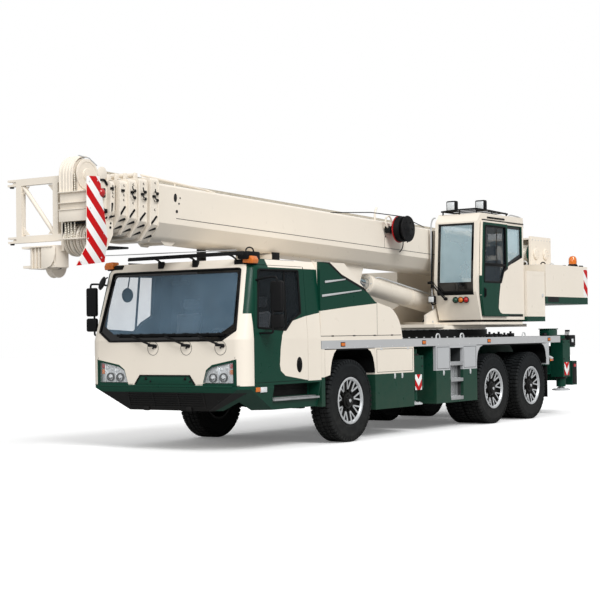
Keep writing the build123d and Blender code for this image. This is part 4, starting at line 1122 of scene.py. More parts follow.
# ======== engine hood
# Folded steel hood behind the cab, cream with a green flash and a black slanted strip on each side,
# two pale slats, a joint line near its foot, and the boom's rest on its roof.
HOOD_TOP = ((-0.7, 1.905), (-0.656, 1.924), (0.183, 2.176), (0.505, 2.345), (0.7, 2.36))
HOOD_FOOT = ((-0.7, 1.84), (-0.681, 1.838), (0.0, 1.788), (0.668, 1.73), (0.7, 1.728))


def hood_livery(axes):
    """A green flash on each side, and the black strip that edges it."""
    run, z = axes.run, axes.z
    flank_side = both_of(past(axes.aside, 1.2), past(run, -0.69))
    green = both_of(flank_side, below(run, z, HOOD_TOP), above(run, z, HOOD_FOOT))
    strip_top = [(x, height + 0.035) for x, height in HOOD_TOP]
    strip = both_of(flank_side, above(run, z, HOOD_TOP), below(run, z, strip_top))
    return over(strip, over(green, CREAM, GREEN), BLACK)


hood_enamel = enamel("hood_two_tone_enamel", CREAM, livery=hood_livery)
dress(hood_enamel, "engine_hood")
bm = bmesh.new()
for (x0, z0), (x1, z1) in (((0.592, 2.089), (0.113, 2.139)), ((0.666, 1.908), (-0.279, 2.001))):
    for hand in (-1, 1):
        corners = side_view(((x0, z0), (x1, z1), (x1 - 0.01, z1 + 0.018), (x0, z0 + 0.03)), hand * 1.247)
        plate(bm, corners, (0, hand * 0.012, 0), bevel=0.004)
piece("hood_slats", bm, "chassis", grey_enamel)
bm = bmesh.new()
for hand in (-1, 1):
    bar(bm, (0.698, -1.33), hand * 1.2445, 1.404, 0.004, sides=6)
    for x in (0.42, -0.1, -0.62, -1.08):
        block(bm, around(x, 0.03), (hand * 1.243, hand * 1.248), (1.396, 1.412), 0.002)
    bar(bm, -0.69, hand * 1.2445, (1.405, 1.84), 0.003, sides=6)
piece("hood_latches", bm, "chassis", black_plastic)
# exhaust and intake: black pipes with a rain cap between the cab and the boom's rest
bm = bmesh.new()
bar(bm, 0.56, -0.8, (2.3, 2.62), 0.065, sides=28, bevel=0.006)
bar(bm, 0.56, -0.8, (2.62, 2.68), 0.08, tip=0.055, sides=28, bevel=0.008)
for i in range(9):
    z = 1.44 + 0.035 * i
    block(bm, (-1.356, -1.3), (-0.9, 0.9), (z, z + 0.014), 0.003)
for y in (-0.23, 0.23):
    block(bm, (0.245, 0.455), around(y, 0.06), (2.35, 2.366), 0.005)
for y in (-0.3, 0.3):
    block(bm, (0.265, 0.435), around(y, 0.008), (2.43, 2.535))
piece("hood_top_fittings", bm, "chassis", black_enamel)

# ======== deck
# Plated deck with a grey anti-slip top and a pale folded rail along each edge, drilled for lashing
# rings, with small valves and a reel of lines near the superstructure.


def deck_livery(axes):
    """Dark walkway between pale edge rails."""
    return over(past(axes.aside, 1.188), "#6E7173", "#B4B5B6")


deck_paint = enamel(
    "anti_slip_deck_paint", GREY, roughness=0.62, clear=0.0, grain=150.0, grain_depth=0.35,
    livery=deck_livery,
)
dress(deck_paint, "deck")
# zinc plating: pale, patchy and half dull
zinc = enamel(
    "zinc_plated_steel", "#C9CBCC", roughness=0.34, clear=0.2, grain=60.0, grain_depth=0.05, dirt=0.1
)
bm = bmesh.new()
for x in (-2.435, -3.177, -5.3):
    for hand in (-1, 1):
        loop = ((x - 0.055, 1.345), (x - 0.055, 1.41), (x + 0.055, 1.41), (x + 0.055, 1.345))
        pipe(bm, side_view(loop, hand * 1.215), 0.01)
for hand in (-1, 1):
    for i in range(22):
        x = 0.55 - 0.325 * i
        bar(bm, x, (hand * 1.249, hand * 1.254), 1.254, 0.009, sides=6)
piece("lashing_rings", bm, "chassis", zinc)
bm = bmesh.new()
for hand in (-1, 1):
    for x, height in ((-4.2, 1.4), (-4.36, 1.385), (-4.52, 1.4), (-4.72, 1.385), (-4.94, 1.405)):
        block(bm, around(x, 0.055), (hand * 1.11, hand * 1.2), (1.345, height), 0.01)
        bar(bm, x, hand * 1.155, (height, height + 0.03), 0.018, sides=12, bevel=0.004)
    bar(bm, -6.19, hand * 1.17, (1.345, 1.4), 0.05, tip=0.035, sides=20, bevel=0.01)
    pipe(bm, [at(-4.2, hand * 1.16, 1.37), at(-3.9, hand * 1.12, 1.362), at(-3.6, hand * 1.0, 1.362)], 0.01)
piece("deck_valves", bm, "chassis", black_plastic)
bm = bmesh.new()
for hand, x in ((1, -6.6), (-1, -6.48)):
    block(bm, (x, x + 0.32), (hand * 1.03, hand * 1.22), (1.347, 1.455), 0.014)
    block(bm, (x - 0.015, x + 0.335), (hand * 1.02, hand * 1.23), (1.455, 1.472), 0.008)
piece("deck_boxes", bm, "chassis", green_enamel)
# bolts of the slewing ring, in two circles
bm = bmesh.new()
for radius, z in ((0.855, 1.477), (0.925, 1.348)):
    for x, y in circle(48, (-4.4, 0), radius):
        bar(bm, x, y, (z, z + 0.016), 0.014, sides=6)
piece("slewing_ring_bolts", bm, "chassis", zinc)

# ======== side lockers and steps
# Folded sheet lockers between the wheels: the front pair cream over green, the rest pale grey over
# green, with flush lids, latches, and a lit step column with aluminium treads.


def locker_paint_and_painted_shade(axes):
    """Cream or grey over green, with painted shade on the walls of the recess behind the steps."""
    run, z = axes.run, axes.z
    recess = under(axes.aside, 1.2)
    upper = over(past(run, -1.9), "#B6B8BA", CREAM)
    painted = over(either_of(under(z, 0.875), both_of(within(run, -2.345, -1.9), recess)), upper, GREEN)
    # painted shade: the recess walls behind the steps are darkened to charcoal
    return over(both_of(within(run, -3.145, -2.735), recess), painted, "#3A3D3F")


locker_enamel = enamel("locker_two_tone_enamel_and_painted_shade", CREAM, livery=locker_paint_and_painted_shade, dirt=0.22)
dress(locker_enamel, "side_lockers")


def seams(bm, xs, y, zs, radius):
    """Thin joint lines round a rectangle on a side panel."""
    (x0, x1), (z0, z1) = xs, zs
    for x, z in (((x0, x1), z0), (x1, (z0, z1)), ((x1, x0), z1), (x0, (z1, z0))):
        bar(bm, x, y, z, radius, sides=6)


bm = bmesh.new()
latches = bmesh.new()
for hand in (-1, 1):
    for xs in ((-0.665, -1.63), (-2.345, -2.715), (-3.165, -3.55)):
        seams(bm, xs, hand * 1.2475, (0.9, 1.215), 0.0032)
    for x in (-1.13, -1.33, -2.53, -3.36):
        block(latches, around(x, 0.016), (hand * 1.246, hand * 1.258), (0.8, 0.874), 0.005)
        block(latches, around(x, 0.01), (hand * 1.256, hand * 1.264), (0.815, 0.86), 0.003)
    for x in (-0.78, -1.5):
        block(latches, around(x, 0.03), (hand * 1.246, hand * 1.256), (1.205, 1.228))
piece("locker_seams", bm, "chassis", seal_rubber)
piece("locker_latches", latches, "chassis", zinc)
# steps: folded aluminium with raised grip holes, and the ribbed panel behind them
bm = bmesh.new()
for hand in (-1, 1):
    for z in (0.47, 0.74, 0.98):
        block(bm, (-3.13, -2.75), (hand * 1.062, hand * 1.252), (z, z + 0.01), 0.003)
        block(bm, (-3.13, -2.75), (hand * 1.246, hand * 1.254), (z - 0.042, z + 0.006), 0.003)
        for i in range(8):
            for j in range(3):
                x, y = -3.09 + 0.044 * i, hand * (1.1 + 0.055 * j)
                bar(bm, x, y, (z + 0.01, z + 0.016), 0.014, tip=0.009, sides=10)
    block(bm, (-3.138, -2.742), (hand * 1.15, hand * 1.156), (0.475, 0.975), 0.002)
    for i in range(5):
        x = -3.1 + 0.08 * i
        block(bm, (x, x + 0.03), (hand * 1.156, hand * 1.164), (0.49, 0.965), 0.003)
piece("aluminium_steps", bm, "chassis", aluminium)
# splash guards ahead of and behind the wheels, with ribbed rubber flaps
bm = bmesh.new()
for hand in (-1, 1):
    for x, z_low in ((-6.13, 0.33), (-2.335, 0.38), (-0.66, 0.4)):
        block(bm, around(x, 0.006), (hand * 0.68, hand * 1.235), (z_low, 0.9), 0.003)
        for i in range(9):
            y = 0.72 + 0.06 * i
            block(bm, around(x, 0.011), (hand * y, hand * (y + 0.012)), (z_low + 0.02, 0.88), 0.003)
piece("mud_flaps", bm, "chassis", seal_rubber)

# ======== outriggers
# Sliding box beams with jack housings at their ends, covered in red and white reflective sheeting,
# and hydraulic jacks with chromed tubes on round cast foot plates.

# hard chrome: bright and smooth, with fine rings left by grinding
chrome, tree = empty_material("ground_hard_chrome")
place = object_place(tree)
rings = add_node(
    tree, "TexWave", {"Scale": 30.0, "Distortion": 1.0, "bands_direction": "Z", "Vector": place}
).outputs["Fac"]
haze = add_node(tree, "TexNoise", {"Scale": 9.0, "Detail": 4.0, "Vector": place})
gloss = add_node(tree, "MapRange", {"To Min": 0.08, "To Max": 0.22, 0: haze})
shade = add_node(tree, "ValToRGB", {"stops": ((0, linear("#AEB2B5")), (1, linear("#D6D9DB"))), 0: haze})
bump = add_node(tree, "Bump", {"Strength": 0.06, "Distance": 0.001, "Height": rings})
surface(tree, {"Metallic": 1.0, "Base Color": shade, "Roughness": gloss, "Normal": bump})


def stripes(across, along, lean, period, phase=0.0):
    """Mask of slanted stripes: along plus lean times across, halved within each period."""
    tree = across.id_data
    slanted = add_node(tree, "Math", {"operation": "MULTIPLY_ADD", 0: across, 1: lean, 2: along})
    shares = {"operation": "MULTIPLY_ADD", 0: slanted, 1: 1 / period, 2: (20.0 + phase) / period}
    share = add_node(tree, "Math", {"operation": "FRACT", 0: add_node(tree, "Math", shares)})
    return under(share, 0.5)


def sheeting(name, mask_of):
    """Retroreflective sheeting: red stripes on white under clear film, with 4 mm glass-bead cells."""
    material, tree = empty_material(name)
    place = object_place(tree)
    cells = add_node(tree, "TexVoronoi", {"Scale": 140.0, "Vector": place})
    rough = add_node(tree, "MapRange", {"To Min": 0.3, "To Max": 0.42, 0: cells})
    bump = add_node(tree, "Bump", {"Strength": 0.08, "Distance": 0.001, "Height": cells})
    look = {"Coat Weight": 0.08, "Coat Roughness": 0.1, "Specular IOR Level": 0.2}
    base = over(mask_of(object_axes(place)), "#EDEDEB", "#BE0007")
    surface(tree, {**look, "Base Color": base, "Roughness": rough, "Normal": bump})
    return material


def chevrons(middle):
    """Mask of arrowheads that point down at x = middle."""

    def mask_of(axes):
        tree = axes.run.id_data
        from_middle = add_node(tree, "Math", {"operation": "SUBTRACT", 0: axes.run, 1: middle})
        away = add_node(tree, "Math", {"operation": "ABSOLUTE", 0: from_middle})
        return stripes(away, axes.z, -1.15, 0.2, 0.035)

    return mask_of


# beams: x, side, top of the jack's housing, and the two heights of its sheeting
BEAMS = {
    "front_left": (-1.84, 1, 1.105, (0.615, 0.835)), "front_right": (-2.14, -1, 1.105, (0.615, 0.835)),
    "rear_left": (-6.96, 1, 1.27, (0.665, 0.89)), "rear_right": (-6.66, -1, 1.27, (0.665, 0.89)),
}
for place_name, (x, out, top, sheet_z) in BEAMS.items():
    bm = bmesh.new()
    block(bm, around(x, 0.095), (out * 1.2185, out * 1.221), sheet_z, 0.0008)
    sheet = sheeting(f"chevron_sheeting_{place_name}", chevrons(x))
    piece(f"chevron_{place_name}", bm, f"beam_{place_name}", sheet)
    bm = bmesh.new()
    for dx in (-0.11, 0.11):
        for z in (0.95, top - 0.035):
            bar(bm, x + dx, (out * 1.216, out * 1.226), z, 0.013, sides=6)
    collar = ((0.082, 0.0), (0.105, 0.0), (0.105, 0.02), (0.092, 0.028), (0.082, 0.028))
    lathe(bm, collar, at(x, out * 1.105, 0.612), (0, 0, 1), steps=36)
    lathe(bm, collar, at(x, out * 1.105, top - 0.002), (0, 0, 1), steps=36)
    piece(f"jack_collar_{place_name}", bm, f"beam_{place_name}", cast_iron)
    dress(chrome, f"jack_{place_name}")
    bm = bmesh.new()
    foot = (
        (0.028, 0.405), (0.146, 0.405), (0.154, 0.412), (0.154, 0.424), (0.14, 0.434), (0.06, 0.44),
        (0.052, 0.462), (0.028, 0.466),
    )
    lathe(bm, foot, at(x, out * 1.105, 0), (0, 0, 1), steps=40)
    for bolt_x, bolt_y in circle(6, (x, out * 1.105), 0.11):
        bar(bm, bolt_x, bolt_y, (0.432, 0.444), 0.009, sides=6)
    piece(f"foot_plate_{place_name}", bm, f"jack_{place_name}", zinc)
# control stations: a small lever box and work lamp above each rear jack's housing
bm = bmesh.new()
whites = bmesh.new()
arms = bmesh.new()
for hand in (-1, 1):
    block(bm, (-7.355, -7.135), (hand * 1.02, hand * 1.215), (1.165, 1.355), 0.012)
    # tray under the box, on an arm welded to the rear outrigger box
    block(arms, (-7.35, -7.118), (hand * 0.8, hand * 1.205), (1.145, 1.166), 0.003)
    block(arms, (-7.14, -7.098), (hand * 0.8, hand * 0.93), (0.8, 1.147), 0.003)
    rib = side_view(((-7.34, 1.147), (-7.138, 1.147), (-7.138, 0.94)), hand * 0.865)
    plate(arms, rib, (0, 0.012, 0))
    block(whites, (-7.26, -7.19), (hand * 1.213, hand * 1.222), (1.23, 1.29), 0.008)
    for i in range(4):
        x = -7.325 + 0.05 * i
        bar(bm, x, (hand * 1.1, hand * 1.11), (1.355, 1.42), 0.007, sides=8)
        bar(bm, x, (hand * 1.11, hand * 1.112), (1.415, 1.445), 0.012, sides=10, bevel=0.004)
piece("rear_control_boxes", bm, "chassis", black_plastic)
piece("rear_control_lamps", whites, "chassis", bright_lens)
piece("rear_control_trays", arms, "chassis", green_enamel)

# ======== rear end
# Rear bumper with lamp clusters in its end blocks, a tow coupling, a licence lamp bar with a bare
# panel, and the silencer with its tail pipe ahead of the rear jacks.
ambers, reds, whites, bm = [bmesh.new() for i in range(4)]
for hand in (-1, 1):
    for y, into in ((1.13, ambers), (1.05, reds), (0.97, reds)):
        dome = ((0.001, 0.0), (0.034, 0.0), (0.034, 0.008), (0.02, 0.016), (0.001, 0.018))
        lathe(into, dome, at(-7.4715, hand * y, 0.74), (-1, 0, 0), steps=28)
        bezel = ((0.036, -0.002), (0.04, -0.002), (0.04, 0.01), (0.036, 0.012))
        lathe(bm, bezel, at(-7.4715, hand * y, 0.74), (-1, 0, 0), steps=28)
    dome = ((0.001, 0.0), (0.03, 0.0), (0.03, 0.006), (0.001, 0.012))
    lathe(whites, dome, at(-7.4715, hand * 1.02, 0.6), (-1, 0, 0), steps=24)
    block(bm, (-7.45, -7.28), (hand * 1.18, hand * 1.186), (0.51, 0.88), 0.003)
    block(reds, (-7.42, -7.33), (hand * 1.185, hand * 1.19), (0.8, 0.85), 0.002)
    block(ambers, (-6.3, -6.22), (hand * 1.246, hand * 1.256), (0.925, 0.96))
    block(reds, (-6.42, -6.34), (hand * 1.21, hand * 1.22), (0.925, 0.96))
bar(bm, (-7.44, -7.5), 0, 0.68, 0.075, sides=28, bevel=0.008)
pipe(bm, front_view(((-0.06, 0.68), (-0.06, 0.6), (0.06, 0.6), (0.06, 0.68)), -7.47), 0.016)
block(bm, (-7.446, -7.44), (-0.72, -0.2), (0.62, 0.74))
for y in (0.25, 0.32, 0.39):
    bar(bm, (-7.44, -7.475), y, 0.68, 0.022, bevel=0.004)
piece("rear_fittings", bm, "chassis", black_plastic)
piece("tail_lamps_amber", ambers, "chassis", amber_lens)
piece("tail_lamps_red", reds, "chassis", red_lens)
piece("reversing_lamps", whites, "chassis", bright_lens)
bm = bmesh.new()
bar(bm, -6.34, (0.7, 1.02), 0.99, 0.075, sides=28, bevel=0.02)
pipe(bm, [at(-6.34, 1.0, 0.99), at(-6.34, 1.1, 0.99), at(-6.34, 1.2, 0.985), at(-6.34, 1.235, 0.96)], 0.03)
piece("silencer", bm, "chassis", zinc)

# ======== turntable and machinery
# Flame-cut side plates welded to a floor, painted cream, with sheet-metal machine boxes behind the
# operator's cab, louvred for the hydraulic tank and pump.


def upper_livery(axes):
    """Cream boxes with a green sill."""
    return over(under(axes.z, 1.672), CREAM, GREEN)


box_enamel = enamel("machinery_box_enamel", CREAM, livery=upper_livery)
dress(cream_enamel, "turntable")
dress(box_enamel, "machinery_boxes")
bm = bmesh.new()
latches = bmesh.new()
for i in range(8):
    z = 1.86 + 0.045 * i
    block(bm, (-5.6, -5.0), (-1.247, -1.239), (z, z + 0.022))
for x0, x1, out in ((-6.04, -5.46, 1), (-6.04, -4.95, -1), (-4.9, -4.14, -1)):
    y = out * 1.2395
    seams(bm, (x0, x1), y, (1.74, 2.36), 0.003)
    block(latches, (x0 + 0.04, x0 + 0.08), (y, y + 0.014 * out), (2.0, 2.05))
piece("machinery_louvres", bm, "superstructure", cream_enamel)
piece("machinery_latches", latches, "superstructure", zinc)
bm = bmesh.new()
for hand in (-1, 1):
    for x, z in ((-6.0, 2.68), (-4.9, 1.8)):
        bar(bm, x, (hand * 0.425, hand * 0.437), z, 0.1, sides=32, bevel=0.006)
        bar(bm, x, (hand * 0.437, hand * 0.452), z, 0.045, sides=24, bevel=0.004)
    for x, z in ((-6.45, 1.7), (-6.0, 1.7), (-4.3, 1.62), (-3.7, 1.6)):
        bar(bm, x, (hand * 0.424, hand * 0.434), z, 0.018, sides=6)
piece("pin_covers", bm, "superstructure", zinc)
# hoses from the turntable's swivel to the cylinder's foot and up to the boom's pivot
bm = bmesh.new()
for y in (-0.32, -0.27, 0.27, 0.32):
    route = ((-4.55, y * 0.8, 1.57), (-4.75, y, 1.66), (-5.15, y, 1.78), (-5.55, y, 2.0), (-5.75, y, 2.22))
    pipe(bm, [at(x, py, z) for x, py, z in route], 0.016)
piece("hydraulic_hoses", bm, "superstructure", seal_rubber)

# ======== operator's cab
# Pressed steel cab on the turntable's left: cream frame round a green side, with a cream panel that
# curves up behind the sliding door, bonded glass with black borders, lamps and a tube rack on the roof.
CURVE_TOP = (
    (-5.46, 2.675), (-5.393, 2.65), (-4.9, 2.5), (-4.558, 2.364), (-4.439, 2.177), (-4.385, 1.95),
    (-4.366, 1.796),
)
CURVE_FOOT = ((-5.46, 1.712), (-4.502, 1.712), (-4.42, 1.735), (-4.366, 1.796))
CAB_FRONT = ((1.62, -3.905), (1.7, -3.872), (2.0, -3.8), (2.25, -3.8), (3.1, -3.862), (3.2, -3.9))


def operator_livery(axes):
    """Green side with a cream panel that curves up, edged in black."""
    run, y, z = axes.run, axes.y, axes.z
    side = past(y, 1.17)
    framed = both_of(side, below(z, run, CAB_FRONT), past(run, -5.335), within(z, 1.668, 3.135))
    panel = both_of(below(run, z, CURVE_TOP), above(run, z, CURVE_FOOT), under(run, -4.366))
    edge_line = [(x + 0.012, height + 0.034) for x, height in CURVE_TOP]
    edging = both_of(framed, below(run, z, edge_line), under(run, -4.358), past(z, 1.8), outside(panel))
    slot = both_of(side, within(run, -5.33, -4.72), within(z, 1.668, 1.7))
    foot = both_of(past(run, -3.8), within(z, 2.005, 2.085), within(y, 0.508, 1.147))
    base = over(both_of(framed, outside(panel)), CREAM, GREEN)
    return over(either_of(edging, slot, foot), base, BLACK)


operator_enamel = enamel("operator_cab_two_tone_enamel", CREAM, livery=operator_livery, dirt=0.08)
dress(operator_enamel, "operator_cab", "operator_door")


def operator_border(axes):
    """Black fired borders: a deep one at the windscreen's foot, narrow ones elsewhere."""
    run, y, z = axes.run, axes.y, axes.z
    rim = either_of(under(z, 2.205), past(z, 3.09), under(y, 0.556), past(y, 1.1))
    slope = below(run, z, ((-5.3, 2.7), (-4.76, 2.505)))
    rear_rim = either_of(past(run, -4.8), under(run, -5.255), past(z, 3.08), slope)
    rear = both_of(under(run, -4.7), past(y, 1.15), rear_rim)
    return either_of(both_of(past(run, -3.98), rim), rear)


cab_glass = glass("bonded_cab_glass", "#C0DAE3", 0.34, operator_border)
dress(cab_glass, "operator_cab_glass")


def door_border(axes):
    """Black border and mid rail of the sliding door's pane."""
    run, z = axes.run, axes.z
    ahead = above(z, run, ((2.2, -3.905), (3.09, -3.965)))
    foot = below(run, z, ((-4.64, 2.475), (-4.58, 2.43), (-4.46, 2.228), (-3.88, 2.228)))
    return either_of(ahead, under(run, -4.615), past(z, 3.06), foot, within(z, 2.455, 2.505))


door_pane = glass("sliding_door_glass", "#26323A", 0.42, door_border)
dress(door_pane, "operator_door_glass")

# door handle, glazing bars, mid rail and sliding rail
bm = bmesh.new()
block(bm, (-3.915, -3.87), (1.243, 1.258), (1.965, 2.115), 0.008)
block(bm, (-3.902, -3.884), (1.256, 1.275), (1.985, 2.095), 0.006)
block(bm, (-4.64, -3.9), (1.243, 1.2475), (2.462, 2.5), 0.003)
block(bm, (-4.335, -4.31), (1.243, 1.2475), (2.505, 3.04), 0.003)
window = (
    (-3.885, 2.205), (-3.945, 3.085), (-4.636, 3.085), (-4.636, 2.455), (-4.57, 2.405), (-4.462, 2.205)
)
pipe(bm, side_view(tight_corners(window, 0.05), 1.243), 0.012, closed=True)
piece("operator_door_fittings", bm, "operator_door", seal_rubber)
bm = bmesh.new()
block(bm, (-5.38, -3.92), (1.196, 1.206), (3.168, 3.186))
block(bm, (-4.7, -4.1), (1.195, 1.206), (3.205, 3.232))
# rubber gaiter and bracket lamp low on the front, the wiper, and the roof's lamp rack
bar(bm, (-3.722, -3.672), 0.656, 1.952, 0.03, tip=0.022, bevel=0.005)
pipe(
    bm, [at(-3.675, 0.656, 1.955), at(-3.65, 0.6, 2.02), at(-3.662, 0.46, 2.16), at(-3.668, 0.4, 2.23)],
    0.013,
)
pipe(
    bm, [at(-3.675, 0.69, 1.955), at(-3.652, 0.63, 2.02), at(-3.664, 0.49, 2.18), at(-3.668, 0.43, 2.25)],
    0.007,
)
bar(bm, (-3.684, -3.722), 0.425, (2.12, 3.02), 0.016, sides=8)
block(bm, (-3.676, -3.664), (0.36, 0.46), (2.19, 2.23), 0.003)
pipe(
    bm, [at(-3.74, 0.465, 1.885), at(-3.7, 0.455, 1.868), at(-3.645, 0.44, 1.868), at(-3.64, 0.44, 1.9)],
    0.01,
)
block(bm, (-3.69, -3.625), (0.39, 0.5), (1.895, 2.0), 0.01)
for y in (0.821, 0.914, 1.006):
    bezel = ((0.04, -0.004), (0.049, -0.004), (0.049, 0.008), (0.043, 0.012), (0.04, 0.008))
    lathe(bm, bezel, at(-3.722, y, 1.93), (1, 0, 0), steps=28)
rack_line = [
    at(-3.86, 0.52, 3.325), at(-3.84, 0.8, 3.34), at(-3.86, 1.13, 3.345), at(-4.3, 1.14, 3.34),
    at(-4.97, 1.12, 3.325),
]
for start, end in zip(rack_line, rack_line[1:]):
    rod(bm, start, end, 0.014, bevel=0.003)
for x, y in ((-3.88, 0.54), (-3.88, 0.83), (-3.9, 1.12), (-4.4, 1.13), (-4.93, 1.12)):
    bar(bm, x, y, (3.262, 3.335), 0.012, sides=10)
bar(bm, (-3.88, -4.97), 0.56, 3.322, 0.012, bevel=0.003)
for i in range(5):
    bar(bm, -4.0 - 0.22 * i, (0.56, 1.13), (3.325, 3.335), 0.009, sides=8)
glows = bmesh.new()
for x, y in ((-3.95, 0.66), (-4.14, 1.07)):
    block(bm, (x - 0.06, x + 0.035), around(y, 0.086), (3.33, 3.498), 0.02)
    block(glows, (x + 0.034, x + 0.041), around(y, 0.064), (3.352, 3.476), 0.01)
block(glows, (-3.627, -3.619), (0.4, 0.49), (1.905, 1.99), 0.01)
piece("operator_cab_trim", bm, "superstructure", black_plastic)
piece("work_lamp_glass", glows, "superstructure", bright_lens)
for name, y, lens in (("green", 0.821, green_lens), ("amber", 0.914, amber_lens), ("red", 1.006, red_lens)):
    bm = bmesh.new()
    dome = ((0.001, 0.0), (0.041, 0.0), (0.041, 0.006), (0.03, 0.016), (0.012, 0.022), (0.001, 0.023))
    lathe(bm, dome, at(-3.722, y, 1.93), (1, 0, 0), steps=28)
    piece(f"load_lamp_{name}", bm, "superstructure", lens)
# white grab rail at the rear corner, and a pale cloth sheet behind the rear pane: a painted reflection
# standing in for the bright reflection in that pane
bm = bmesh.new()
rail = ((-4.93, 3.27), (-4.93, 3.305), (-5.05, 3.308), (-5.36, 3.29), (-5.43, 3.24), (-5.43, 3.12))
pipe(bm, side_view(rail, 1.165), 0.012)
pipe(bm, front_view(((0.5, 3.22), (0.42, 3.24), (0.415, 2.8), (0.415, 2.1), (0.43, 1.8)), -3.7), 0.012)
piece("operator_grab_rails", bm, "superstructure", grey_enamel)
painted_reflection_cloth = weave("pale_blind_cloth", "#F2F5F2", thread=0.004)
# painted reflection: a pale sheet on a roller bar behind the rear pane
bm = bmesh.new()
block(bm, (-5.245, -4.81), (1.15, 1.154), (2.71, 3.05), 0.001)
bar(bm, (-5.25, -4.8), 1.15, 3.065, 0.016)
piece("rear_pane_painted_reflection", bm, "superstructure", painted_reflection_cloth)
# inside: seat, side consoles with levers, and the screen stand
bm = bmesh.new()
bellows(bm, (-4.75, -4.45), (0.7, 0.96), 1.66, folds=9, step=0.014)
block(bm, (-4.84, -4.36), (0.6, 1.06), (1.985, 2.008), 0.006)
for y in (0.555, 1.105):
    block(bm, (-4.8, -4.36), around(y, 0.033), (2.185, 2.236), 0.014)
    block(bm, (-4.72, -4.62), around(y, 0.03), (2.01, 2.185), 0.008)
    bar(bm, (-4.42, -4.4), y, (2.23, 2.235), 0.028)
base_piece = piece("operator_seat_base", bm, "superstructure", black_plastic)
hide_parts("operator_seat")
pad("operator_cushion", "superstructure", (-4.85, -4.36), (0.6, 1.06), (2.01, 2.13))
pad("operator_back", "superstructure", (-4.93, -4.81), (0.61, 1.05), (2.13, 2.62), lean=-0.08)
pad("operator_headrest", "superstructure", (-4.96, -4.88), (0.71, 0.95), (2.64, 2.84), lean=-0.08)
bm = bmesh.new()
block(bm, (-4.02, -3.9), (0.56, 0.72), (1.66, 2.05), 0.012)
block(bm, (-3.99, -3.93), (0.54, 0.8), (2.1, 2.32), 0.012)
bar(bm, (-3.97, -3.965), (0.64, 0.66), (2.04, 2.12), 0.016)
for y in (0.76, 0.92):
    pipe(bm, side_view(((-3.96, 1.66), (-4.0, 1.9), (-4.08, 2.06)), y), 0.01)
    bar(bm, (-4.075, -4.1), y, (2.04, 2.12), 0.02, sides=14, bevel=0.005)
piece("operator_controls", bm, "superstructure", dash_plastic)

# ======== counterweight and winches
# Steel-plate counterweight filled with iron, cream over a green foot, with reflective stripes on its
# rear corners and an amber beacon; two winches wound with galvanised wire rope behind it.


def weight_livery(axes):
    """Green foot with a dark slot, and red and white stripes on the rear corners."""
    run, aside, z = axes.run, axes.aside, axes.z
    low = under(z, 2.008)
    slot = both_of(within(z, 1.915, 2.008), within(run, -6.62, -6.18), past(aside, 1.2))
    corner = past(aside, 0.8)
    white = both_of(under(run, -7.665), within(z, 2.015, 2.51), corner)
    stripe = both_of(stripes(run, z, -0.9, 0.3, 0.02), under(run, -7.672), within(z, 2.02, 2.5), corner)
    base = over(slot, over(low, CREAM, GREEN), BLACK)
    return over(stripe, over(white, base, "#ECECEA"), "#BE0007")


weight_enamel = enamel(
    "counterweight_enamel", CREAM, livery=weight_livery, grain=80.0, grain_depth=0.06, dirt=0.06
)
dress(weight_enamel, "counterweight")
dress(cream_enamel, "winch_housing")

# wire rope: bright strands laid at a slant, about 12 mm pitch, with grease in the hollows
wire_rope, tree = empty_material("galvanised_wire_rope")
place = object_place(tree)
lay = add_node(
    tree, "TexWave", {"Scale": 24.0, "Distortion": 0.6, "bands_direction": "DIAGONAL", "Vector": place}
).outputs["Fac"]
grease = add_node(tree, "TexNoise", {"Scale": 18.0, "Detail": 4.0, "Vector": place})
strands = both_of(lay, grease)
shade = add_node(
    tree, "ValToRGB", {"stops": ((0, linear("#B0AA9D")), (0.5, linear("#E6E0D2"))), 0: strands}
)
gloss = add_node(tree, "MapRange", {"To Min": 0.35, "To Max": 0.6, 0: grease})
bump = add_node(tree, "Bump", {"Strength": 0.7, "Distance": 0.003, "Height": lay})
surface(tree, {"Metallic": 0.6, "Base Color": shade, "Roughness": gloss, "Normal": bump})

dress(green_enamel, "winches")
ROPE_PITCH = 0.0225
bm = bmesh.new()
for x in (-7.11, -7.5):
    for i in range(44):
        y = -0.485 + ROPE_PITCH * i
        lathe(bm, circle(6, (0.148, 0), 0.0112), at(x, y, 2.79), (0, 1, 0), steps=28)
piece("winch_rope", bm, "superstructure", wire_rope)
bm = bmesh.new()
for hand in (-1, 1):
    for x in (-7.11, -7.5):
        bar(bm, x, (hand * 0.6, hand * 0.622), 2.79, 0.1, sides=32, bevel=0.008)
        for bolt_x, z in circle(8, (x, 2.79), 0.08):
            bar(bm, bolt_x, (hand * 0.622, hand * 0.632), z, 0.01, sides=6)
piece("winch_motors", bm, "superstructure", cream_enamel)
ambers, bm = bmesh.new(), bmesh.new()
for hand in (-1, 1):
    dome = (
        (0.001, 2.6), (0.068, 2.6), (0.072, 2.64), (0.068, 2.7), (0.048, 2.735), (0.02, 2.746),
        (0.001, 2.748),
    )
    lathe(ambers, dome, at(-7.6, hand * 1.08, 0), (0, 0, 1), steps=32)
    base = ((0.001, 2.548), (0.09, 2.548), (0.09, 2.575), (0.08, 2.585), (0.076, 2.602), (0.001, 2.602))
    lathe(bm, base, at(-7.6, hand * 1.08, 0), (0, 0, 1), steps=28)
    block(bm, (-7.74, -7.62), (hand * 1.18, hand * 1.22), (2.548, 2.575), 0.008)
    block(bm, (-7.14, -7.08), (hand * 1.1, hand * 1.16), (2.548, 2.568), 0.006)
    pipe(bm, side_view(((-6.95, 2.548), (-6.95, 2.62), (-6.75, 2.62), (-6.75, 2.548)), hand * 0.86), 0.011)
piece("beacon_glass", ambers, "superstructure", amber_lens)
piece("counterweight_fittings", bm, "superstructure", black_plastic)
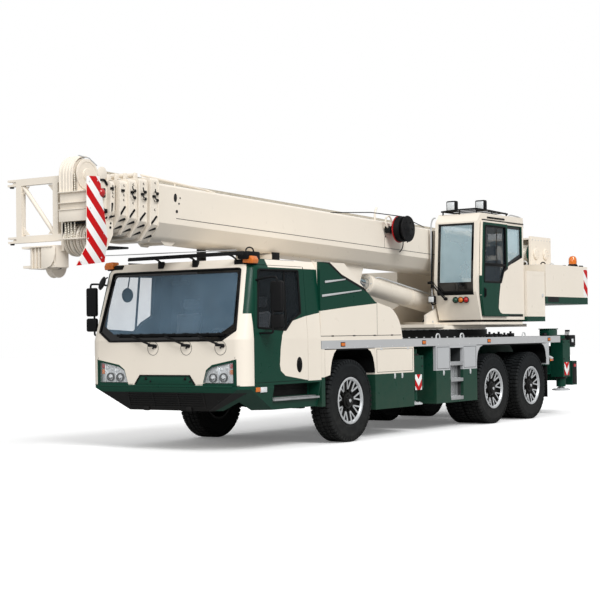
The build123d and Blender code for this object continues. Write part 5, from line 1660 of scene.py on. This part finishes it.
# lifting eyes and sheet cover bolts
bm = bmesh.new()
for hand in (-1, 1):
    for x in (-6.45, -7.55):
        lathe(bm, circle(8, (0.045, 0), 0.012), at(x, hand * 0.7, 2.585), (1, 0, 0), steps=24)
    for i in range(7):
        bar(bm, -7.7 + 0.12 * i, (hand * 0.598, hand * 0.608), 3.03, 0.01, sides=6)
        bar(bm, -7.7 + 0.12 * i, (hand * 0.598, hand * 0.608), 2.6, 0.01, sides=6)
piece("lifting_eyes", bm, "superstructure", zinc)

# ======== telescopic boom
# Five box sections bent and welded from high-tensile plate, each ending in a stiff collar with
# slotted wear-pad adjusters, sprayed cream. A hose reel, cable guides and hooks sit along its side.
BOOM_FOOT = (-6.0, 2.68)
BOOM_TILT = math.radians(1.8)


def on_boom(along, y, rise):
    """Point at a distance along the boom from its foot pin, square to it and to the left."""
    x = BOOM_FOOT[0] + along * math.cos(BOOM_TILT) - rise * math.sin(BOOM_TILT)
    z = BOOM_FOOT[1] + along * math.sin(BOOM_TILT) + rise * math.cos(BOOM_TILT)
    return at(x, y, z)


def bolt(bm, seat, depth, radius, **shape):
    """A rod that stands on its seat, as deep as the given vector."""
    rod(bm, seat, seat + Vector(depth), radius, **shape)


def sharp_block(bm, middle, size):
    """A small box round its middle."""
    bmesh.ops.create_cube(bm, size=1, matrix=Matrix.Translation(middle) @ Matrix.Diagonal((*size, 1)))


boom_enamel = enamel("boom_cream_enamel", CREAM, dirt=0.05)
for number in range(1, 6):
    dress(boom_enamel, f"boom_section_{number}")
dress(cream_enamel, "boom_head")

# wear-pad adjusters on each collar: section body, half width, top, bottom, and the collar's start and end
COLLARS = (
    ("boom_base", 0.405, 0.355, -0.405, 8.9, 9.05), ("boom_second", 0.38, 0.33, -0.38, 9.08, 9.23),
    ("boom_third", 0.355, 0.305, -0.355, 9.24, 9.38), ("boom_fourth", 0.33, 0.28, -0.33, 9.38, 9.51),
    ("boom_fly", 0.305, 0.255, -0.305, 9.575, 9.64),
)
EAR = ((-0.045, -0.01), (0.045, -0.01), (0.03, 0.085), (-0.03, 0.085))
for body, half, high, low, start, end in COLLARS:
    middle = (start + end) / 2
    dark, pale = bmesh.new(), bmesh.new()
    for hand in (-1, 1):
        # slots across the bent belly, lying square to the bend
        for share in (0.3, 0.72):
            y = half * (1.0 - 0.38 * share) - 0.002
            z = low + 0.2 * (1.0 - share) + 0.004
            reach = Vector((0.052, -hand * 0.03, -0.016))
            spot = on_boom(middle, hand * y, z)
            rod(dark, spot - reach, spot + reach, 0.014, sides=10, bevel=0.004)
        slot = (end - 0.02, start + 0.03), hand * (half + 0.001), (low + 0.205, low + 0.305)
        bar(dark, *slot, 0.013, where=on_boom, sides=10, bevel=0.004)
        # bolts and their seats up the side
        for i in range(4):
            rise = low + 0.38 + (high - low - 0.44) * i / 3
            seat = on_boom(middle - 0.012, hand * half, rise)
            bolt(dark, seat, (0, hand * 0.006, 0), 0.012, bevel=0.002)
            bolt(pale, seat, (0, hand * 0.014, 0), 0.008, sides=6)
            if i == 1:
                catch = on_boom(middle + 0.014, hand * (half + 0.01), rise + 0.05)
                sharp_block(dark, catch, (0.045, 0.02, 0.028))
        # stiffening rib along each edge of the collar
        for along in (start + 0.006, end - 0.006):
            edge = hand * (half + 0.004)
            bar(pale, along, edge, (low + 0.19, high - 0.04), 0.007, where=on_boom, sides=8)
            bend = along, (edge, hand * (half * 0.64)), (low + 0.19, low + 0.01)
            bar(pale, *bend, 0.007, where=on_boom, sides=8)
    for y in (-0.16, 0.16):
        sharp_block(dark, on_boom(middle, y, high + 0.002), (0.06, 0.05, 0.018))
    # rope guide roller on two ears, over the collar
    if body != "boom_fly":
        for y in (-0.1, 0.1):
            ear = [on_boom(middle + dx, y, high + dz) for dx, dz in EAR]
            plate(pale, ear, (0, 0.01, 0))
        bar(pale, middle, (-0.095, 0.105), high + 0.055, 0.028, where=on_boom, sides=20)
    piece(f"collar_adjusters_{body}", dark, body, black_plastic)
    piece(f"collar_fittings_{body}", pale, body, cream_enamel)

# hooks and hose clips that stand off the collars' upper flanks
HOOK = ((-0.03, 0, 0), (-0.03, 0.045, 0), (0.05, 0.045, 0), (0.05, 0.045, 0.045))
for (body, half, *rest), along in zip(COLLARS, (8.96, 9.15, 9.31)):
    bm = bmesh.new()
    for rise in (0.09, 0.17):
        pipe(bm, [on_boom(along + dx, half + dy, rise + dz) for dx, dy, dz in HOOK], 0.007)
        bar(bm, along - 0.03, (half, half + 0.02), rise, 0.018, where=on_boom, sides=12)
    piece(f"flank_hooks_{body}", bm, body, cast_iron)

# long welded joint low on the base section's flank, an access hole and its plugs
bm = bmesh.new()
for hand in (-1, 1):
    bar(bm, (0.7, 8.51), hand * 0.3605, -0.085, 0.0035, where=on_boom, sides=6)
    bar(bm, 3.62, hand * 0.3605, (-0.085, 0.08), 0.0022, where=on_boom, sides=6)
    hole = [on_boom(x, hand * 0.36, rise) for x, rise in circle(24, (8.53, 0.165), 0.03, 0.052)]
    plate(bm, hole, (0, hand * 0.003, 0), bevel=0.001)
    for along, rise, radius in (
        (8.44, 0.17, 0.01), (8.46, 0.1, 0.012), (8.5, 0.0, 0.02), (3.6, 0.085, 0.012), (2.95, 0.05, 0.012)
    ):
        bolt(bm, on_boom(along, hand * 0.36, rise), (0, hand * 0.004, 0), radius)
piece("boom_flank_joints", bm, "boom_base", cast_iron)
bm = bmesh.new()
bar(bm, (9.03, 7.78), 0.24, (0.395, 0.345), 0.014, where=on_boom, bevel=0.003)
bar(bm, (7.78, 7.6), 0.24, (0.345, 0.325), 0.014, where=on_boom, bevel=0.003)
for along, rise in ((9.0, 0.39), (8.4, 0.37), (7.66, 0.33)):
    bar(bm, along, 0.24, (0.305, rise), 0.01, where=on_boom, sides=10)
wide = ((8.3, -0.35), (8.61, -0.35), (8.52, -0.41), (8.4, -0.41))
narrow = ((5.2, -0.35), (5.3, -0.35), (5.27, -0.43), (5.23, -0.43))
for outline, y, thick in ((wide, 0.18, 0.014), (wide, -0.18, -0.014), (narrow, 0.16, 0.014)):
    plate(bm, [on_boom(along, y, rise) for along, rise in outline], (0, thick, 0))
bar(bm, 8.46, (-0.19, 0.19), -0.385, 0.014, where=on_boom)
# guide ring on a stalk, and the hook that stands on the boom's top edge
ring_centre = on_boom(3.62, 0.43, 0.3)
ring = [ring_centre + Vector((x, 0, z)) for x, z in circle(16, (0, 0), 0.088)]
pipe(bm, ring, 0.013, closed=True)
bar(bm, 3.62, (0.36, 0.43), (0.215, 0.222), 0.012, where=on_boom)
hook = ((3.85, 0.3), (3.85, 0.38), (3.84, 0.45), (3.8, 0.5))
pipe(bm, [on_boom(along, 0.33, rise) for along, rise in hook], 0.016)
piece("boom_guides", bm, "boom_base", cream_enamel)

# hose reel: black drum with a red flange, and its cable drawn tight along the boom's top edge
dress(black_plastic, "cable_reel")
bm = bmesh.new()
reds = bmesh.new()
centre = at(-2.58, 0, 2.988)
flange = ((0.05, 0.489), (0.196, 0.489), (0.203, 0.492), (0.203, 0.499), (0.196, 0.502), (0.05, 0.502))
lathe(reds, flange, centre, (0, 1, 0), steps=56)
for i in range(5):
    lathe(bm, circle(8, (0.183, 0.512 + 0.0185 * i), 0.01), centre, (0, 1, 0))
outer = (
    (0.001, 0.6), (0.15, 0.6), (0.168, 0.64), (0.192, 0.644), (0.198, 0.652), (0.192, 0.664), (0.06, 0.668),
    (0.04, 0.68), (0.001, 0.682),
)
lathe(bm, outer, centre, (0, 1, 0), steps=56)
for x, z in circle(6, (-2.58, 2.988), 0.11):
    bar(bm, x, (0.665, 0.673), z, 0.012, sides=6)
block(bm, (-2.46, -2.36), (0.375, 0.47), (2.93, 3.03), 0.012)
pipe(bm, [at(-2.58, 0.55, 3.178), at(-2.35, 0.5, 3.19), at(-1.9, 0.42, 3.205)], 0.007)
rod(bm, at(-1.9, 0.42, 3.205), on_boom(5.0, 0.3, 0.318), 0.007, sides=8)
bar(bm, (-2.62, -3.62), (0.55, 0.34), (3.17, 3.085), 0.007, sides=8)
pipe(bm, [at(-2.66, 0.52, 2.8), at(-2.76, 0.46, 2.74), at(-2.8, 0.4, 2.68), at(-2.8, 0.37, 2.66)], 0.008)
piece("reel_drum", bm, "boom_base", black_plastic)
piece("reel_flange", reds, "boom_base", red_lens)

# ======== boom head
# Two cheek plates with grooved rope sheaves, a rounded rope guard, warning lamps, a striped board,
# the frame that a fly jib hinges on, and the auxiliary sheave's box.
bm = bmesh.new()
rope = bmesh.new()
SHEAVE_ROWS = ((3.32, (-0.16, -0.062)), (2.57, (-0.15, -0.05, 0.05, 0.15)))
for z, ys in SHEAVE_ROWS:
    for y in ys:
        groove = (
            (0.06, -0.036), (0.115, -0.024), (0.15, -0.03), (0.186, -0.037), (0.193, -0.034),
            (0.193, -0.026), (0.176, -0.01),
        )
        other_half = [(radius, -along) for radius, along in reversed(groove)]
        lathe(bm, [*groove, *other_half], at(3.715, y, z), (0, 1, 0))
        lathe(rope, circle(8, (0.187, 0), 0.0105), at(3.715, y, z), (0, 1, 0))
sheaves = piece("grooved_sheaves", bm, "boom_fly", cream_enamel)
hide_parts("head_sheaves")
for y in (-0.16, -0.11, -0.062, 0.0):
    bar(rope, 3.902, (y * 0.9, y), (2.57, 3.32), 0.0105, sides=8)
bar(rope, 3.528, (-0.155, -0.16), (2.57, 3.32), 0.0105, sides=8)
piece("hoist_rope_reeving", rope, "boom_fly", wire_rope)
# the hoist rope's two parts over the boom, in one length a section, each just inside the next
LINES = (
    ("boom_base", 0.2, 0.0092), ("boom_second", 2.2, 0.0086), ("boom_third", 2.2, 0.008),
    ("boom_fourth", 2.2, 0.0074),
)
for body, start, radius in LINES:
    rope = bmesh.new()
    for y in (-0.15, -0.06):
        bar(rope, (start, 9.3), y, 0.42, radius, where=on_boom, sides=8)
    piece(f"hoist_rope_{body}", rope, body, wire_rope)
# closed guide box at the boom's foot, where the rope comes up from the winches
bm = bmesh.new()
case = ((0.05, 0.345), (0.3, 0.345), (0.3, 0.47), (0.17, 0.48), (0.05, 0.4))
plate(bm, [on_boom(along, -0.205, rise) for along, rise in case], (0, 0.2, 0), 0.012)
for y in (-0.15, -0.06):
    bar(bm, (0.285, 0.33), y, 0.42, 0.026, where=on_boom, tip=0.016, sides=20, bevel=0.003)
piece("rope_guide_box", bm, "boom_base", boom_enamel)
rope = bmesh.new()
for y in (-0.15, -0.06):
    bar(rope, (2.2, 9.25), y, 0.42, 0.0068, where=on_boom, sides=8)
    bar(rope, (9.25, 9.72), y, (0.42, 0.425), 0.0092, where=on_boom, sides=8)
piece("hoist_rope_boom_fly", rope, "boom_fly", wire_rope)
bm = bmesh.new()
dark = bmesh.new()
turns = [math.radians(100 * i / 12) for i in range(13)]
guard = [(3.715 + 0.215 * math.cos(a), 3.32 + 0.215 * math.sin(a)) for a in turns]
guard.insert(0, (3.93, 3.108))
for (x0, z0), (x1, z1) in zip(guard, guard[1:]):
    inner = Vector((3.715 - (x0 + x1) / 2, 0, 3.32 - (z0 + z1) / 2)).normalized() * 0.007
    corners = [at(x0, -0.206, z0), at(x1, -0.206, z1), at(x1, -0.012, z1), at(x0, -0.012, z0)]
    plate(bm, corners, inner, bevel=0)
# ringed cover on the middle cheek, over the upper sheaves' pin
disc = (
    (0.001, 0.0), (0.178, 0.0), (0.182, 0.003), (0.18, 0.012), (0.15, 0.014), (0.146, 0.008),
    (0.075, 0.008), (0.07, 0.02), (0.001, 0.022),
)
lathe(bm, disc, at(3.715, 0.02, 3.32), (0, 1, 0))
for y in (-0.206, -0.15, -0.105, -0.058, -0.012):
    for (x0, z0), (x1, z1) in zip(guard, guard[1:]):
        bar(bm, (x0, x1), y, (z0, z1), 0.01, sides=8)
for z in (3.108, 2.985, 2.905):
    block(bm, (3.862, 3.955), (-0.214, 0.214), around(z, 0.006), 0.003)
block(bm, (3.915, 3.919), (-0.214, 0.214), (2.905, 3.108), 0.001)
block(bm, (3.938, 3.943), (-0.214, 0.214), (2.768, 2.905), 0.001)
block(bm, (3.915, 3.955), (-0.214, 0.214), (2.56, 2.574), 0.003)
block(dark, (3.872, 3.905), (-0.19, 0.19), (2.738, 2.762), 0.006)
for y in (-0.19, 0.19):
    block(dark, (3.872, 3.9), around(y, 0.008), (2.6, 2.75))
hub = ((0.001, 0.0), (0.075, 0.0), (0.075, 0.014), (0.0525, 0.02), (0.001, 0.022))
CHEEK_BOLTS = (
    (3.6, 3.14), (3.8, 3.14), (3.6, 2.93), (3.8, 2.93), (3.58, 2.7), (3.8, 2.7), (3.42, 3.12), (3.42, 2.95)
)
for hand in (-1, 1):
    for z in (3.32, 2.57):
        lathe(bm, hub, at(3.715, hand * 0.25, z), (0, hand, 0), steps=32)
    for x, z in CHEEK_BOLTS:
        bar(dark, x, (hand * 0.25, hand * 0.26), z, 0.015, sides=6)
# struts, gussets and the diagonal of the jib's hinge frame
bar(bm, 3.835, (-0.9, -0.37), (3.25, 2.63), 0.026, sides=12)
for y, z, dy, dz in (
    (-0.385, 2.65, -0.1, 0.1), (-0.385, 3.23, -0.1, -0.1), (-0.885, 2.65, 0.1, 0.1),
    (-0.885, 3.23, 0.1, -0.1),
):
    plate(bm, [at(3.83, y, z), at(3.83, y + dy, z), at(3.83, y, z + dz)], (0.012, 0, 0), bevel=0.002)
for z in (2.5725, 3.2525):
    bar(dark, 3.835, -1.082, (z - 0.03, z - 0.014), 0.026, bevel=0.003)
    bar(bm, 3.835, (-0.93, -1.05), z + 0.012, 0.022)
# auxiliary sheave's box: side plates, ribs and the grooved wheel that hangs behind it
wall = ((3.745, 2.49), (3.965, 2.49), (3.965, 2.27), (3.9, 2.24), (3.745, 2.24))
for y in (-0.64, -0.52, -0.4, -0.28):
    plate(bm, side_view(wall, y), (0, 0.01, 0))
for y in (-0.615, -0.555, -0.5):
    block(bm, (3.965, 3.985), around(y, 0.006), (2.245, 2.485), 0.002)
block(bm, (3.745, 4.005), (-0.655, -0.27), (2.486, 2.496), 0.003)
block(bm, (3.745, 3.995), (-0.655, -0.42), (2.236, 2.244), 0.003)
cover = [
    (-0.455, 2.49), (-0.235, 2.49), (-0.235, 2.4), (-0.262, 2.32), (-0.31, 2.262), (-0.38, 2.236),
    (-0.455, 2.236),
]
plate(bm, front_view(cover, 3.992), (-0.01, 0, 0))
wheel = (
    (0.03, -0.045), (0.11, -0.045), (0.128, -0.048), (0.136, -0.04), (0.116, -0.012), (0.116, 0.012),
    (0.136, 0.04), (0.128, 0.048), (0.11, 0.045), (0.03, 0.045),
)
lathe(bm, wheel, at(3.74, -0.46, 2.27), (0, 1, 0), steps=44)
bar(dark, 3.74, (-0.53, -0.39), 2.27, 0.034, sides=20, bevel=0.005)
block(dark, (3.955, 3.966), (-0.47, -0.43), (2.455, 2.475), 0.003)
piece("head_guard", bm, "boom_fly", cream_enamel)
# hoses, cable tails and the anti two-block switch's rod
pipe(dark, side_view(((3.64, 3.19), (3.66, 3.24), (3.74, 3.25), (3.8, 3.21)), 0.262), 0.013)
pipe(dark, side_view(((3.745, 3.02), (3.735, 2.96), (3.7, 2.91), (3.66, 2.87)), 0.262), 0.008)
block(dark, (3.655, 3.705), (0.25, 0.285), (2.86, 2.91), 0.008)
block(dark, (3.7, 3.745), (0.25, 0.3), (3.035, 3.145), 0.01)
block(dark, (3.2, 3.58), (-0.2, 0.2), (2.468, 2.492), 0.006)
piece("head_fittings", dark, "boom_fly", black_plastic)
bm = bmesh.new()
bar(bm, (4.15, 3.93), (0.3, 0.26), (3.482, 3.474), 0.007, sides=8)
bar(bm, (3.935, 3.8), (0.26, 0.255), (3.474, 3.4), 0.007, sides=8)
piece("feeler_rod", bm, "boom_fly", zinc)
bm = bmesh.new()
dome = ((0.001, 0.0), (0.05, 0.0), (0.05, 0.012), (0.038, 0.028), (0.016, 0.038), (0.001, 0.04))
lathe(bm, dome, at(3.775, 0.298, 3.088), (0.15, 1, 0), steps=32)
block(bm, (3.735, 3.82), (0.252, 0.3), (2.825, 2.872), 0.016)
piece("head_lamps", bm, "boom_fly", red_lens)


def board_bands(axes):
    """Five bands that fall towards the crane's rear."""
    return stripes(axes.run, axes.z, -1.05, 0.256, 0.129)


board = ((4.03, 3.26), (3.815, 3.275), (3.69, 2.58), (3.745, 2.29), (4.21, 2.235), (4.04, 2.48))
bm = bmesh.new()
plate(bm, side_view(board, 0.3082), (0, 0.0016, 0), bevel=0.0005)
plate(bm, side_view(board, 0.2998), (0, -0.0016, 0), bevel=0.0005)
piece("striped_board", bm, "boom_fly", sheeting("board_sheeting", board_bands))
bm = bmesh.new()
for x, z in ((3.85, 3.22), (3.99, 3.2), (3.75, 2.62), (3.8, 2.34), (4.14, 2.28), (4.02, 2.55), (3.98, 2.9)):
    bar(bm, x, (0.309, 0.314), z, 0.009, sides=6)
piece("board_rivets", bm, "boom_fly", zinc)

# ======== luffing cylinder
# Honed steel barrel painted cream with a screwed gland, and a hard-chromed rod. Two hard pipes run
# along the barrel from the port at its foot to the gland.
dress(cream_enamel, "luff_barrel")
dress(chrome, "luff_rod")
LUFF_FOOT = at(-4.9, 0, 1.8)
LUFF_EYE = at(-1.9, 0, 2.25)
luff_axis = (LUFF_EYE - LUFF_FOOT).normalized()
luff_up = Vector((-luff_axis.z, 0, luff_axis.x))
bm = bmesh.new()
gland = (
    (0.093, 2.47), (0.15, 2.47), (0.158, 2.478), (0.158, 2.54), (0.15, 2.556), (0.13, 2.56), (0.093, 2.56)
)
lathe(bm, gland, LUFF_FOOT, luff_axis)
for along in (0.26, 1.25, 1.31):
    band = ((0.144, along), (0.151, along), (0.151, along + 0.03), (0.144, along + 0.03))
    lathe(bm, band, LUFF_FOOT, luff_axis)
piece("luff_gland", bm, "luff_barrel", cream_enamel)
bm = bmesh.new()
for side_y in (-0.1, 0.1):
    line = [
        LUFF_FOOT + luff_axis * along + luff_up * rise + Vector((0, side_y, 0))
        for along, rise in ((0.25, 0.11), (0.4, 0.14), (2.3, 0.14), (2.42, 0.11))
    ]
    pipe(bm, line, 0.012, order=2)
port = LUFF_FOOT + luff_axis * 0.24 + luff_up * 0.14
rod(bm, port, port + luff_up * 0.06, 0.035, bevel=0.006)
for y, rise in circle(8, (0, 0), 0.125):
    spot = LUFF_FOOT + luff_axis * 2.56 + luff_up * rise + Vector((0, y, 0))
    rod(bm, spot, spot + luff_axis * 0.01, 0.01, sides=6)
piece("luff_piping", bm, "luff_barrel", zinc)

low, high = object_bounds()
